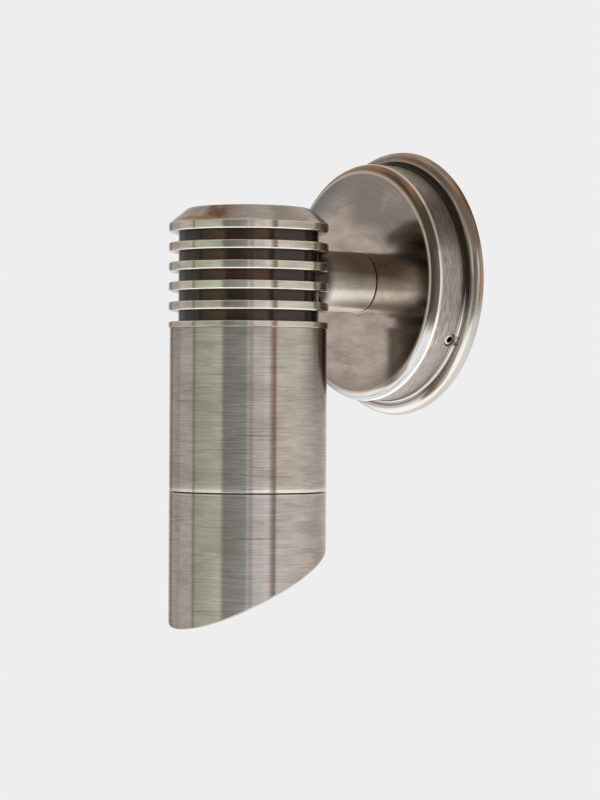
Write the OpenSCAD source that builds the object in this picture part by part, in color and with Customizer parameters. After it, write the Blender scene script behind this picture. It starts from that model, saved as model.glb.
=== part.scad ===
// Outdoor wall light: a turned, finned head on a straight arm, with a cut-off
// glare hood below and a round stepped canopy against the wall.
// Frame: the origin is the centre of the wall plate's back, on the wall.
// +Z is up, the light stands out from the wall along -Y, and +X is to its right.

/* [Head] */
// Room between the lamp and the body tube, which sets how wide the head is
lamp_room = 2.45; // [1.5:0.05:12]
// Distance from the wall to the axis of the head
reach = 74.7; // [66:0.1:140]
// Length of the body tube that shows
tube_len = 62.7; // [60:0.1:120]
// Wall of the body tube between its two sockets
tube_wall = 3; // [2.6:0.1:4]
// How much wider than the bore the sockets at the tube's ends are, on the radius
socket_step = 1; // [0.6:0.1:1.4]
// Bevel on turned edges
edge_break = 0.3; // [0.1:0.05:0.6]

/* [Finned top] */
// Number of fins
fin_count = 4; // [3:1:8]
// Thickness of a fin
fin_t = 3.5; // [2:0.1:6]
// Height of the groove between two fins
fin_gap = 4.1; // [2.5:0.1:7]
// Depth of the grooves, down to the core
fin_depth = 3.8; // [2:0.1:6]
// How far the fins, the cap and the rim stand out past the tube
fin_proud = 0.5; // [0:0.1:3]
// Height of the cap's upright edge
cap_land = 3.4; // [2:0.1:8]
// Height of the cap's slope
cap_rise = 6.2; // [3:0.1:9]
// Width of the cap's slope, seen from above
cap_run = 7.5; // [3:0.1:12]
// Rounding where the slope meets the flat top
cap_round = 2.6; // [0.5:0.1:3]
// Height of the rim under the last groove
rim_t = 2.4; // [1.5:0.1:5]
// Length of the plug under the rim, which goes into the body tube
spigot_len = 12; // [8:0.5:16]
// How far the pocket for the lampholder reaches above the arm's axis
pocket_head = 8; // [6:0.5:12]

/* [Arm] */
// Outside diameter of the arm
arm_d = 24; // [18:0.5:26]
// How deep the arm's flat seat is sunk into the core
arm_sink = 3.3; // [2.8:0.1:4]
// Diameter of the threaded nipple that clamps head, arm and canopy together
nipple_d = 10; // [9:0.5:12]
// Bore of the nipple
nipple_bore = 6.4; // [5.4:0.2:7]
// Bevel on the arm's end at the canopy
arm_bevel = 0.5; // [0.2:0.1:1.5]

/* [Canopy] */
// How far the rim at the wall stands out past the drum
rim_proud = 5.8; // [4.6:0.1:18]
// Rounding of the rim
rim_round = 4; // [2:0.1:6]
// Width of the round-bottomed groove between the rim and the drum
cove_w = 2; // [1.2:0.1:3.4]
// Diameter of the drum behind the lip
drum_d = 94.2; // [92:0.2:96]
// How far the lip stands out past the drum
lip_proud = 0.2; // [0.1:0.05:0.8]
// Diameter of the flat face
face_d = 87; // [60:0.5:90]
// Distance from the wall to the flat face
canopy_depth = 20.5; // [20:0.1:28]
// Distance from the wall to the lip
lip_depth = 16.6; // [14:0.1:18]
// Thickness of the drum's wall
drum_wall = 3.6; // [3:0.1:5]
// Thickness of the face
face_t = 2.5; // [1.5:0.1:3]
// Gap between the canopy's rim and the wall, which the gasket fills
wall_gap = 0.4; // [0.2:0.1:1]
// Number of grub screws round the drum
grub_count = 3; // [2:1:6]
// Diameter of the grub screws
grub_d = 5; // [3:0.5:5.5]
// Bevel round the grub screws' holes
grub_bevel = 0.3; // [0.1:0.05:0.5]

/* [Wall plate] */
// Thickness of the wall plate's web
web_t = 3.5; // [3:0.1:4.5]
// Height of the wall plate's rim past the groove for the grub screws
plate_lip = 0.5; // [0.3:0.1:1.5]
// Thickness of the wall plate's rim
plate_rim_t = 4; // [3:0.1:6]
// Gap round the wall plate, inside the drum
plate_play = 0.3; // [0.1:0.05:0.6]
// Distance between the two wall screws
screw_spacing = 60; // [54:1:64]
// Width of the slots for the wall screws
slot_w = 5.2; // [4:0.2:6.2]
// Length of those slots, end to end
slot_len = 12; // [8:0.5:14]
// Bore of the cable grommet
cable_bore = 9; // [6:0.5:10]
// Height of the cable grommet above the middle of the plate
cable_up = 20; // [18:0.5:24]

/* [Hood] */
// Length of the hood on its long side
hood_long = 52.5; // [40:0.5:90]
// Length of the hood on its short side
hood_short = 21; // [16:0.5:60]
// How far the hood is turned from straight out
hood_turn = -8; // [-90:1:90]
// Width of the seam between the body tube and the hood
seam = 0.4; // [0.3:0.05:1]

/* [Lens carrier] */
// How far the carrier plugs into the body tube
plug_up = 9; // [7:0.5:10]
// How far the carrier plugs into the hood
plug_down = 8.2; // [7:0.2:12]
// Wall of the carrier round the lens
carrier_wall = 2.7; // [2.6:0.1:3.4]
// Width of the ledge under the lens
ledge_w = 2.7; // [1.5:0.1:4]
// Thickness of that ledge
ledge_t = 2.5; // [1.5:0.1:4]
// Thickness of the lens glass
lens_t = 4; // [3:0.5:5]
// Thickness of the gasket under the lens
gasket_t = 1; // [0.5:0.1:2]
// Thickness of the ring that holds the lens down
lens_ring_t = 2.5; // [1.5:0.1:3]
// Thickness of the seal rings
seal_t = 1.8; // [1.4:0.1:1.8]

/* [Lamp] */
// Diameter of the lamp's front
lamp_d = 50; // [46:0.5:50]
// Length of the lamp without its pins
lamp_len = 46.5; // [40:0.5:47]
// Distance between the lamp's two pins
pin_spacing = 10; // [9:0.5:11]
// Diameter of the pins' heads
pin_head_d = 5; // [4:0.2:5.4]
// Angle that the lamp turns through between locked and free
lamp_twist = 25; // [15:1:40]
// Length of the lampholder
holder_l = 30; // [28:0.5:33]
// Thickness of the lampholder
holder_t = 17; // [16:0.5:19]
// Height of the lampholder
holder_h = 18; // [14:0.5:18]

/* [Hidden] */

$fn = 96;
// Overshoot of cutting shapes past the surface that they cut
over = 1;
// Clearance of parts that screw or plug together and don't move
snug = 0.05;
// Clearance of parts that slide or turn in each other
slip = 0.1;
// Clearance of loose parts
loose = 0.3;

// The head, about its own axis
bore_r = lamp_d/2 + lamp_room;
head_r = bore_r + tube_wall;
socket_r = bore_r + socket_step;
fin_r = head_r + fin_proud;
core_r = fin_r - fin_depth;
stack_h = fin_count*fin_t + (fin_count - 1)*fin_gap;
cap_z = stack_h/2 + fin_gap;
slope_z = cap_z + cap_land;
top_z = slope_z + cap_rise;
rim_top_z = -cap_z;
tube_top_z = rim_top_z - rim_t;
tube_end_z = tube_top_z - tube_len;
spigot_r = socket_r - snug;
spigot_z = tube_top_z - spigot_len;
foot_hole_d = 2.6;
foot_hole_deep = 6;

// Seal rings: each lies in its groove with a hair of air inside and outside
seal_air = 0.02;
seal_groove_h = seal_t + 0.6;
seal_floor_r = socket_r - seal_t - 2*seal_air;
// Distance from a plug's end to its groove
seal_set = 3;

// The arm and what clamps it
arm_r = arm_d/2;
seat_r = core_r - arm_sink;
nipple_r = nipple_d/2;
// Room round the lampholder in the head's pocket
pocket_room = 3.5;
pocket_r = holder_l/2 + pocket_room;
nut_t = 3.5;
// Distance across the nut's flats
nut_af = 1.7*nipple_d;
washer_t = 1.2;
washer_r = 1.1*nipple_d;
// How far the nipple stands out past its nut
nipple_tail = 0.8;

// The canopy, by its distance from the wall
drum_r = drum_d/2;
rim_r = drum_r + rim_proud;
drum_in_r = drum_r - drum_wall;
face_r = face_d/2;
rim_mid_r = rim_r - rim_round;
// Where the rim's round meets the groove, and the middle of the groove's floor
rim_edge_d = wall_gap + sqrt(pow(rim_round, 2) - pow(max(0, drum_r + cove_w - rim_mid_r), 2));
cove_mid_d = rim_edge_d - 0.2;
face_in_d = canopy_depth - face_t;
// Bevel in the canopy's inner corner
corner_in = 2;
nipple_end_d = face_in_d - washer_t - nut_t - nipple_tail;
gasket_in_r = drum_in_r + 2;
gasket_out_r = rim_r - 2.4;
gasket_deep = 1.6;
plate_r = drum_in_r - plate_play;
plate_in_r = plate_r - plate_rim_t;

// The grub screws: the first one's angle seen from the room, their distance
// from the wall, just clear of the groove, and their depths from the axis
grub_first = -30;
grub_out = cove_mid_d + grub_d/2 + grub_bevel + 0.1;
grub_tip_r = plate_r - 1.6;
grub_end_r = drum_r - 0.5;
grub_point_r = 0.2;
grub_point_h = grub_d/2 - grub_point_r;
grub_chamfer = 0.4;
grub_key = grub_d/2;
groove_floor_r = grub_tip_r - 0.4;
// Half the groove's width, its sides at the slope of the screws' points
groove_half = plate_r - groove_floor_r;
plate_h = grub_out + groove_half + plate_lip;

// The cable grommet: wall round the bore, and lips on both sides of the web
grommet_wall = 2.5;
grommet_lip = 2;
grommet_lip_t = 1.3;
grommet_r = cable_bore/2 + grommet_wall;
grommet_lip_r = grommet_r + grommet_lip;

// The earth terminal
earth_x = cable_up;
earth_d = 3.2;
earth_washer_t = 0.8;

// The lead from the terminal block, through the nipple, to the lampholder
lead_r = nipple_bore/2 - 0.6;
lead_d = web_t + lead_r + loose;
lead_bend = nipple_end_d - 0.5 - lead_d;
// How far the sheath comes out of the nipple in the head
sheath_out = 1.5;
// Radius of a core, and of its bends
wire_r = 0.7;
wire_bend = 2;

// The terminal block, with its wire holes at the lead's height
pole_w = 9;
block_h = 18;
block_low = 8;
block_deep = 11;
// Gap between the block's lower corners and the wall plate's rim
block_gap = 2.5;
block_mid_z = block_h/2 - sqrt(pow(plate_in_r - block_gap, 2) - pow(1.5*pole_w, 2));
block_top_z = block_mid_z + block_h/2;
tower_w = 6.4;
tower_in = 2;
wire_hole_d = 2.6;
wire_hole_z = lead_d - web_t;
// How far the cores reach into the block
wire_in = 7;
clamp_y = 4;
clamp_d = 2.2;
clamp_head_d = 3.4;
clamp_head_h = 1.6;
clamp_sink = 2.2;
block_screw_d = 2.3;
// Where the sheath ends, with room below it for the cores' bends
lead_end_z = block_top_z + 2*wire_bend + 1;

// The lampholder and the lamp
holder_top_z = -nipple_r - 2.2;
holder_low_z = holder_top_z - holder_h;
lamp_top_z = holder_low_z - loose;
lamp_low_z = lamp_top_z - lamp_len;
pin_r = pin_spacing/2;
pin_neck_r = pin_head_d*0.3;
pin_head_r = pin_head_d/2;
pin_head_h = 2.6;
// Thickness of the holder's floor, which the pins' heads lock behind
pin_plate = 3;
lamp_rim_h = 7;
lamp_front_t = 2;
lamp_front_in = 1;
lamp_front_r = lamp_d/2 - 2.5;

// The strap that carries the lampholder, and its screws
strap_t = 1;
strap_w = 8;
leg_x = sqrt(pow(pocket_r - 0.25, 2) - pow(strap_w/2, 2));
foot_x = sqrt(pow(spigot_r - 1.5, 2) - pow(strap_w/2, 2));
foot_screw_x = (leg_x + foot_x)/2;
holder_screw_x = holder_l/2 - 4;
strap_screw_d = 2.5;
strap_hole_d = 3.2;
strap_screw_len = 5.5;

// The lens carrier and the hood
carrier_r = socket_r - slip;
carrier_bore_r = carrier_r - carrier_wall;
carrier_top_z = tube_end_z + plug_up;
hood_top_z = tube_end_z - seam;
carrier_low_z = hood_top_z - plug_down;
ledge_r = carrier_bore_r - ledge_w;
ledge_z = carrier_low_z + ledge_t;
glass_z = ledge_z + gasket_t;
lens_ring_z = glass_z + lens_t;
lens_r = carrier_bore_r - 0.2;
spanner_hole_d = 1.4;
hood_mid_z = hood_top_z - (hood_long + hood_short)/2;
hood_slope = (hood_long - hood_short)/(2*head_r);

// Colours
antique = [0.56, 0.53, 0.49];
antique_dark = [0.42, 0.38, 0.34];
plain_brass = [0.72, 0.58, 0.35];
zinc = [0.7, 0.7, 0.7];
black_rubber = [0.1, 0.1, 0.1];
ceramic = [0.93, 0.92, 0.88];
core_brown = [0.45, 0.3, 0.2];
clear_glass = [0.8, 0.87, 0.86, 0.5];

// The head's axis, at its distance from the wall
module on_head() translate([0, -reach, 0]) children();

// Shapes drawn with Z out from the wall, Y up and X to the right
module off_wall() rotate([90, 0, 0]) children();

// Half-section of a disc with bevelled edges
module disc_section(r, low, high, bevel) {
  polygon([[0, low], [r - bevel, low], [r, low + bevel], [r, high - bevel], [r - bevel, high], [0, high]]);
}

// Half-section of the sloped cap, its upper edge rounded
module cap_section() {
  tilt = atan2(cap_rise, cap_run);
  flat_r = fin_r - cap_run;
  run_out = cap_round*tan(tilt/2);
  polygon([[0, cap_z], [fin_r - edge_break, cap_z], [fin_r, cap_z + edge_break], [fin_r, slope_z],
    [flat_r + run_out*cos(tilt), top_z - run_out*sin(tilt)], [flat_r - run_out, top_z], [0, top_z]]);
  translate([flat_r - run_out, top_z - cap_round]) circle(r = cap_round);
}

// Groove for a seal ring round a plug, its lower side at z
module seal_groove(z) {
  translate([0, 0, z]) difference() {
    cylinder(r = socket_r + over, h = seal_groove_h);
    translate([0, 0, -over]) cylinder(r = seal_floor_r, h = seal_groove_h + 2*over);
  }
}

// Seal ring lying in such a groove
module seal_ring(z) {
  translate([0, 0, z + seal_groove_h/2]) rotate_extrude()
    translate([seal_floor_r + seal_air + seal_t/2, 0]) circle(d = seal_t);
}

// Screw with a cheese head and a slot, its head up and its seat at z = 0
module cheese_screw(d, head, head_h, len) {
  difference() {
    union() {
      cylinder(d = head, h = head_h);
      translate([0, 0, -len]) cylinder(d = d, h = len + head_h/2);
    }
    translate([-head, -head/12, head_h/2]) cube([2*head, head/6, head_h]);
  }
}

// Cap, fins, core, rim and plug turned from one bar, bored from below,
// with a flat seat sunk into its side for the arm
module finned_top() color(antique) on_head() difference() {
  rotate_extrude() {
    cap_section();
    translate([0, spigot_z]) square([spigot_r, rim_top_z - spigot_z]);
    translate([0, tube_top_z]) square([core_r, slope_z - tube_top_z]);
    disc_section(fin_r, tube_top_z, rim_top_z, edge_break);
    for (i = [0 : fin_count - 1]) let(low = -stack_h/2 + i*(fin_t + fin_gap))
      disc_section(fin_r, low, low + fin_t, edge_break);
  }
  translate([0, 0, spigot_z - over]) cylinder(r = pocket_r, h = pocket_head - spigot_z + over);
  seal_groove(spigot_z + seal_set);
  rotate([-90, 0, 0]) translate([0, 0, seat_r]) cylinder(r = arm_r + snug, h = fin_r);
  rotate([-90, 0, 0]) translate([0, 0, pocket_r/2]) cylinder(r = nipple_r + snug, h = fin_r);
  for (s = [-1, 1]) translate([s*foot_screw_x, 0, spigot_z - over])
    cylinder(d = foot_hole_d, h = foot_hole_deep + over);
}

// Seal between the finned top and the body tube
module top_seal() color(black_rubber) on_head() seal_ring(spigot_z + seal_set);

// Body tube with a socket at each end
module body_tube() color(antique) on_head() difference() {
  translate([0, 0, tube_end_z]) rotate_extrude()
    disc_section(head_r, 0, tube_len, edge_break);
  translate([0, 0, tube_end_z - over]) cylinder(r = bore_r, h = tube_len + 2*over);
  translate([0, 0, spigot_z - loose]) cylinder(r = socket_r, h = spigot_len + loose + over);
  translate([0, 0, tube_end_z - over]) cylinder(r = socket_r, h = plug_up + slip + over);
}

// Straight arm: seated in the head at one end, flat on the canopy at the other
module arm() color(antique) off_wall() difference() {
  translate([0, 0, canopy_depth]) rotate_extrude() difference() {
    square([arm_r, reach - seat_r - canopy_depth]);
    translate([arm_r - arm_bevel, 0]) rotate(-45) square(2*arm_bevel);
  }
  translate([0, 0, canopy_depth - over]) cylinder(r = nipple_r + snug, h = reach);
}

// Threaded nipple: screwed into the head, clamped behind the canopy
module nipple() color(plain_brass) off_wall() translate([0, 0, nipple_end_d]) difference() {
  cylinder(r = nipple_r, h = reach - pocket_r - nipple_end_d);
  translate([0, 0, -over]) cylinder(d = nipple_bore, h = reach);
}

// Washer behind the canopy's face
module nipple_washer() color(zinc) off_wall() translate([0, 0, face_in_d - washer_t]) difference() {
  cylinder(r = washer_r, h = washer_t);
  translate([0, 0, -over]) cylinder(r = nipple_r + snug, h = washer_t + 2*over);
}

// Thin hexagon nut behind the washer
module nipple_nut() color(plain_brass) off_wall()
  translate([0, 0, face_in_d - washer_t - nut_t]) difference() {
    cylinder(d = nut_af/cos(30), h = nut_t, $fn = 6);
    translate([0, 0, -over]) cylinder(r = nipple_r + snug, h = nut_t + 2*over);
  }

// Outer half-section of the canopy: rim, groove, drum, lip, curved shoulder and face
module canopy_outline() {
  difference() {
    rim_outline();
    translate([drum_r + cove_w/2, cove_mid_d]) {
      circle(d = cove_w);
      translate([-cove_w/2, 0]) square([cove_w, rim_round]);
    }
  }
  translate([0, wall_gap]) square([drum_r, lip_depth - wall_gap - lip_proud]);
  polygon([[0, lip_depth - 2*lip_proud], [drum_r, lip_depth - 2*lip_proud],
    [drum_r + lip_proud, lip_depth - lip_proud], [drum_r + lip_proud, lip_depth],
    [face_r, canopy_depth], [0, canopy_depth]]);
  shoulder();
}

// The rim, round at the front and flat at the back
module rim_outline() intersection() {
  union() {
    translate([rim_mid_r, wall_gap]) circle(r = rim_round);
    square([rim_mid_r, wall_gap + rim_round]);
  }
  translate([0, wall_gap]) square([rim_r + over, rim_round + over]);
}

// The slight swell of the shoulder between the lip and the face
module shoulder() {
  run = drum_r + lip_proud - face_r;
  rise = canopy_depth - lip_depth;
  chord = sqrt(run*run + rise*rise);
  swell_r = 1.15*chord;
  off = sqrt(swell_r*swell_r - chord*chord/4);
  mid = [face_r + run/2, lip_depth + rise/2];
  intersection() {
    translate(mid - off*[rise, run]/chord) circle(r = swell_r);
    translate([face_r, lip_depth]) square([run, rise]);
  }
}

// Turned canopy, hollow behind
module canopy() color(antique) off_wall() difference() {
  rotate_extrude() difference() {
    canopy_outline();
    polygon([[-over, -over], [drum_in_r, -over], [drum_in_r, face_in_d - corner_in],
      [drum_in_r - corner_in, face_in_d], [-over, face_in_d]]);
    translate([gasket_in_r, -over]) square([gasket_out_r - gasket_in_r, gasket_deep + over]);
  }
  translate([0, 0, face_in_d - over]) cylinder(r = nipple_r + snug, h = face_t + 2*over);
  for (i = [0 : grub_count - 1]) rotate([0, 0, grub_first + i*360/grub_count])
    translate([0, 0, grub_out]) rotate([0, 90, 0]) {
      translate([0, 0, drum_in_r - over]) cylinder(d = grub_d + 2*snug, h = drum_wall + 2*over);
      translate([0, 0, drum_r - grub_bevel])
        cylinder(r1 = grub_d/2 + snug, r2 = grub_d/2 + snug + 2*grub_bevel, h = 2*grub_bevel);
    }
}

// Soft ring between the canopy and the wall
module wall_gasket() color(black_rubber) off_wall() rotate_extrude()
  translate([gasket_in_r, 0]) square([gasket_out_r - gasket_in_r, gasket_deep]);

// Grub screws that bite into the wall plate's groove
module canopy_grub_screws() color(antique_dark) off_wall()
  for (i = [0 : grub_count - 1]) rotate([0, 0, grub_first + i*360/grub_count])
    translate([0, 0, grub_out]) rotate([0, 90, 0]) difference() {
      union() {
        translate([0, 0, grub_tip_r]) cylinder(r1 = grub_point_r, r2 = grub_d/2, h = grub_point_h);
        translate([0, 0, grub_tip_r + grub_point_h])
          cylinder(d = grub_d, h = grub_end_r - grub_chamfer - grub_tip_r - grub_point_h);
        translate([0, 0, grub_end_r - grub_chamfer])
          cylinder(r1 = grub_d/2, r2 = grub_d/2 - grub_chamfer, h = grub_chamfer);
      }
      translate([0, 0, grub_end_r - 0.9*grub_key]) cylinder(d = grub_key/cos(30), h = grub_d, $fn = 6);
    }

// One slot through the wall plate
module slot() {
  for (s = [-1, 1]) translate([s*(slot_len - slot_w)/2, 0, -over]) cylinder(d = slot_w, h = web_t + 2*over);
  translate([-(slot_len - slot_w)/2, -slot_w/2, -over]) cube([slot_len - slot_w, slot_w, web_t + 2*over]);
}

// Wall plate: a web with the fixing slots and cable hole, and a grooved rim
module mounting_plate() color(zinc) off_wall() difference() {
  rotate_extrude() difference() {
    square([plate_r, plate_h]);
    translate([-over, web_t]) square([plate_in_r + over, plate_h]);
    polygon([[plate_r + over, grub_out - groove_half - over], [groove_floor_r, grub_out],
      [plate_r + over, grub_out + groove_half + over]]);
  }
  for (s = [-1, 1]) translate([s*screw_spacing/2, 0, 0]) slot();
  translate([0, cable_up, -over]) cylinder(r = grommet_r, h = web_t + 2*over);
  translate([0, cable_up, -over]) cylinder(r = grommet_lip_r + slip, h = grommet_lip_t + over);
  for (s = [-1, 1]) translate([s*pole_w/2, block_mid_z, -over])
    cylinder(d = block_screw_d + 2*snug, h = web_t + 2*over);
  translate([-earth_x, cable_up, -over]) cylinder(d = earth_d + 2*snug, h = web_t + 2*over);
}

// Rubber grommet for the supply cable
module cable_grommet() color(black_rubber) off_wall() translate([0, cable_up, 0]) difference() {
  union() {
    translate([0, 0, slip]) cylinder(r = grommet_lip_r, h = grommet_lip_t - slip);
    translate([0, 0, slip]) cylinder(r = grommet_r, h = web_t);
    translate([0, 0, web_t]) cylinder(r = grommet_lip_r, h = grommet_lip_t);
  }
  translate([0, 0, -over]) cylinder(d = cable_bore, h = web_t + grommet_lip_t + 2*over);
}

// Three-pole terminal block
module terminal_block() color(ceramic) off_wall() translate([0, block_mid_z, web_t]) difference() {
  union() {
    translate([-1.5*pole_w, -block_h/2, 0]) cube([3*pole_w, block_h, block_low]);
    for (i = [-1 : 1]) translate([i*pole_w - tower_w/2, -block_h/2 + tower_in, 0])
      cube([tower_w, block_h - 2*tower_in, block_deep]);
  }
  for (i = [-1 : 1]) translate([i*pole_w, 0, wire_hole_z]) rotate([90, 0, 0])
    cylinder(d = wire_hole_d, h = block_h + 2*over, center = true);
  for (i = [-1 : 1], s = [-1, 1]) translate([i*pole_w, s*clamp_y, wire_hole_z]) {
    cylinder(d = clamp_d + 2*snug, h = block_deep);
    translate([0, 0, block_deep - clamp_sink - wire_hole_z])
      cylinder(d = clamp_head_d + 2*slip, h = clamp_sink + over);
  }
  for (s = [-1, 1]) translate([s*pole_w/2, 0, -over])
    cylinder(d = block_screw_d + 2*snug, h = block_deep + 2*over);
}

// Clamping screws in the terminal block, their tips just over the wires
module terminal_screws() color(zinc) off_wall() translate([0, block_mid_z, web_t])
  for (i = [-1 : 1], s = [-1, 1]) translate([i*pole_w, s*clamp_y, block_deep - clamp_sink])
    cheese_screw(clamp_d, clamp_head_d, clamp_head_h,
      block_deep - clamp_sink - wire_hole_z - wire_r - slip);

// Screws that hold the terminal block to the wall plate
module block_screws() color(zinc) off_wall() translate([0, block_mid_z, web_t + block_low])
  for (s = [-1, 1]) translate([s*pole_w/2, 0, 0])
    cheese_screw(block_screw_d, pole_w - tower_w, 0.5*block_screw_d, block_low + web_t - 0.5);

// Earthing screw with its washer
module earth_terminal() color(plain_brass) off_wall() translate([-earth_x, cable_up, web_t]) {
  translate([0, 0, earth_washer_t]) cheese_screw(earth_d, 1.9*earth_d, 0.75*earth_d, web_t + 0.3);
  cylinder(d = 2.5*earth_d, h = earth_washer_t);
}

// Sheathed lead: out of the pocket, through the nipple, round a bend and down
module inner_lead() color(ceramic) off_wall() {
  translate([0, 0, lead_d + lead_bend])
    cylinder(r = lead_r, h = reach - pocket_r + sheath_out - lead_d - lead_bend);
  translate([0, -lead_bend, lead_d + lead_bend]) rotate([0, 90, 0]) rotate_extrude(angle = 90)
    translate([lead_bend, 0]) circle(r = lead_r);
  translate([0, -lead_bend, lead_d]) rotate([90, 0, 0])
    cylinder(r = lead_r, h = -lead_end_z - lead_bend);
}

// The cores from the sheath to the three poles of the block
module block_leads() color(core_brown) off_wall() translate([0, 0, lead_d]) {
  end_z = block_top_z - wire_in;
  start = 2*wire_r;
  translate([0, end_z, 0]) rotate([-90, 0, 0]) cylinder(r = wire_r, h = lead_end_z - end_z);
  for (s = [0, 1]) mirror([s, 0, 0]) {
    translate([start + wire_bend, lead_end_z, 0]) rotate([0, 0, 180]) rotate_extrude(angle = 90)
      translate([wire_bend, 0]) circle(r = wire_r);
    translate([start + wire_bend, lead_end_z - wire_bend, 0]) rotate([0, 90, 0])
      cylinder(r = wire_r, h = pole_w - start - 2*wire_bend);
    translate([pole_w - wire_bend, lead_end_z - 2*wire_bend, 0]) rotate_extrude(angle = 90)
      translate([wire_bend, 0]) circle(r = wire_r);
    translate([pole_w, end_z, 0]) rotate([-90, 0, 0])
      cylinder(r = wire_r, h = lead_end_z - 2*wire_bend - end_z);
  }
}

// The cores in the head: two go down into the lampholder, and the earth core,
// between them, reaches further and ends on the strap
module holder_leads() color(core_brown) on_head() {
  bent_core(-2*wire_r, holder_t/2 - 2.3, holder_top_z);
  bent_core(2*wire_r, holder_t/2 - 2.3, holder_top_z);
  bent_core(0, wire_bend/2, holder_top_z + strap_t);
}

// A core at x that comes from the sheath, turns down at y and ends at z
module bent_core(x, y, z) translate([x, y, 0]) {
  translate([0, wire_bend, 0]) rotate([-90, 0, 0])
    cylinder(r = wire_r, h = pocket_r - sheath_out - y - wire_bend);
  translate([0, wire_bend, -wire_bend]) rotate([0, -90, 0]) rotate([180, 0, 0])
    rotate_extrude(angle = 90) translate([wire_bend, 0]) circle(r = wire_r);
  translate([0, 0, z]) cylinder(r = wire_r, h = -wire_bend - z);
}

// Bent steel strap that carries the lampholder under the finned top
module holder_bracket() color(zinc) on_head() difference() {
  translate([0, strap_w/2, 0]) rotate([90, 0, 0]) linear_extrude(strap_w) for (s = [0, 1]) mirror([s, 0]) {
    translate([-over, holder_top_z]) square([leg_x + over, strap_t]);
    translate([leg_x - strap_t, spigot_z - strap_t]) square([strap_t, holder_top_z - spigot_z + 2*strap_t]);
    translate([leg_x - strap_t, spigot_z - strap_t]) square([foot_x - leg_x + strap_t, strap_t]);
  }
  for (s = [-1, 1]) {
    translate([s*foot_screw_x, 0, spigot_z - strap_t - over])
      cylinder(d = strap_hole_d, h = strap_t + 2*over);
    translate([s*holder_screw_x, 0, holder_top_z - over])
      cylinder(d = strap_hole_d, h = strap_t + 2*over);
  }
}

// Screws up through the bracket's feet
module bracket_screws() color(zinc) on_head() for (s = [-1, 1])
  translate([s*foot_screw_x, 0, spigot_z - strap_t]) rotate([180, 0, 0])
    cheese_screw(strap_screw_d, 2*strap_screw_d, 0.7*strap_screw_d, strap_screw_len);

// Screws down into the lampholder
module holder_screws() color(zinc) on_head() for (s = [-1, 1])
  translate([s*holder_screw_x, 0, holder_top_z + strap_t])
    cheese_screw(strap_screw_d, 1.8*strap_screw_d, 0.55*strap_screw_d, strap_screw_len);

// Ceramic lampholder with two keyhole slots for a twist-lock lamp
module lampholder() color(ceramic) on_head() difference() {
  translate([0, 0, holder_low_z]) linear_extrude(holder_h) {
    square([holder_l - holder_t, holder_t], center = true);
    for (s = [-1, 1]) translate([s*(holder_l - holder_t)/2, 0]) circle(d = holder_t);
  }
  for (s = [-1, 1]) translate([s*holder_screw_x, 0, holder_top_z - strap_screw_len])
    cylinder(d = strap_screw_d + 2*snug, h = strap_screw_len + over);
  for (a = [0, 180]) rotate([0, 0, a]) {
    translate([0, 0, holder_low_z - over]) linear_extrude(pin_plate + 2*over)
      pin_sweep(pin_neck_r + loose, lamp_twist);
    translate([0, 0, holder_low_z + pin_plate]) linear_extrude(pin_head_h + 3*loose)
      pin_sweep(pin_head_r + loose, lamp_twist);
    rotate([0, 0, -lamp_twist]) translate([0, 0, holder_low_z - over])
      linear_extrude(pin_plate + 2*over) pin_sweep(pin_head_r + loose, 0);
  }
}

// Outline that one pin of radius r sweeps while the lamp turns by the given angle
module pin_sweep(r, turn) {
  polygon([
    for (a = [-180 : 15 : 0]) pin_r*[cos(-turn), sin(-turn)] + r*[cos(a - turn), sin(a - turn)],
    for (t = [0.75 : -0.25 : 0.25]) (pin_r + r)*[cos(-t*turn), sin(-t*turn)],
    for (a = [0 : 15 : 180]) [pin_r + r*cos(a), r*sin(a)],
    for (t = [0.25 : 0.25 : 0.75]) (pin_r - r)*[cos(-t*turn), sin(-t*turn)]]);
}

// Lamp's housing, a bell on a narrow base, open at its front for the lamp's lens
module lamp_body() color(ceramic) on_head() translate([0, 0, lamp_low_z]) difference() {
  rotate_extrude() polygon([[0, 0], [lamp_d/2, 0], [lamp_d/2, lamp_rim_h],
    [lamp_d*0.48, lamp_rim_h + 2], [lamp_d*0.34, lamp_len*0.58], [lamp_d*0.27, lamp_len*0.84],
    [lamp_d*0.23, lamp_len*0.86], [lamp_d*0.23, lamp_len], [0, lamp_len]]);
  translate([0, 0, -over]) cylinder(r = lamp_front_r, h = lamp_front_in + lamp_front_t + over);
}

// The lamp's two studs, with heads that lock behind the holder's plate
module lamp_pins() color(zinc) on_head() for (s = [-1, 1]) translate([s*pin_r, 0, lamp_top_z]) {
  cylinder(r = pin_neck_r, h = pin_plate + 2*loose);
  translate([0, 0, pin_plate + 2*loose]) cylinder(r = pin_head_r, h = pin_head_h);
}

// The lamp's own front lens
module lamp_front() color(ceramic) on_head() translate([0, 0, lamp_low_z + lamp_front_in])
  cylinder(r = lamp_front_r - snug, h = lamp_front_t);

// Turned ring that plugs into the tube above and the hood below, and holds the lens
module lens_carrier() color(antique_dark) on_head() difference() {
  translate([0, 0, carrier_low_z]) rotate_extrude()
    disc_section(carrier_r, 0, carrier_top_z - carrier_low_z, edge_break);
  translate([0, 0, carrier_low_z - over]) cylinder(r = ledge_r, h = ledge_t + 2*over);
  translate([0, 0, ledge_z]) cylinder(r = carrier_bore_r, h = carrier_top_z - ledge_z + over);
  seal_groove(carrier_top_z - seal_set - seal_groove_h);
  seal_groove(carrier_low_z + seal_set);
}

// Seals above and below the seam
module carrier_seals() color(black_rubber) on_head() {
  seal_ring(carrier_top_z - seal_set - seal_groove_h);
  seal_ring(carrier_low_z + seal_set);
}

// Flat gasket on the ledge
module lens_gasket() color(black_rubber) on_head() translate([0, 0, ledge_z]) difference() {
  cylinder(r = lens_r, h = gasket_t);
  translate([0, 0, -over]) cylinder(r = ledge_r, h = gasket_t + 2*over);
}

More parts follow.
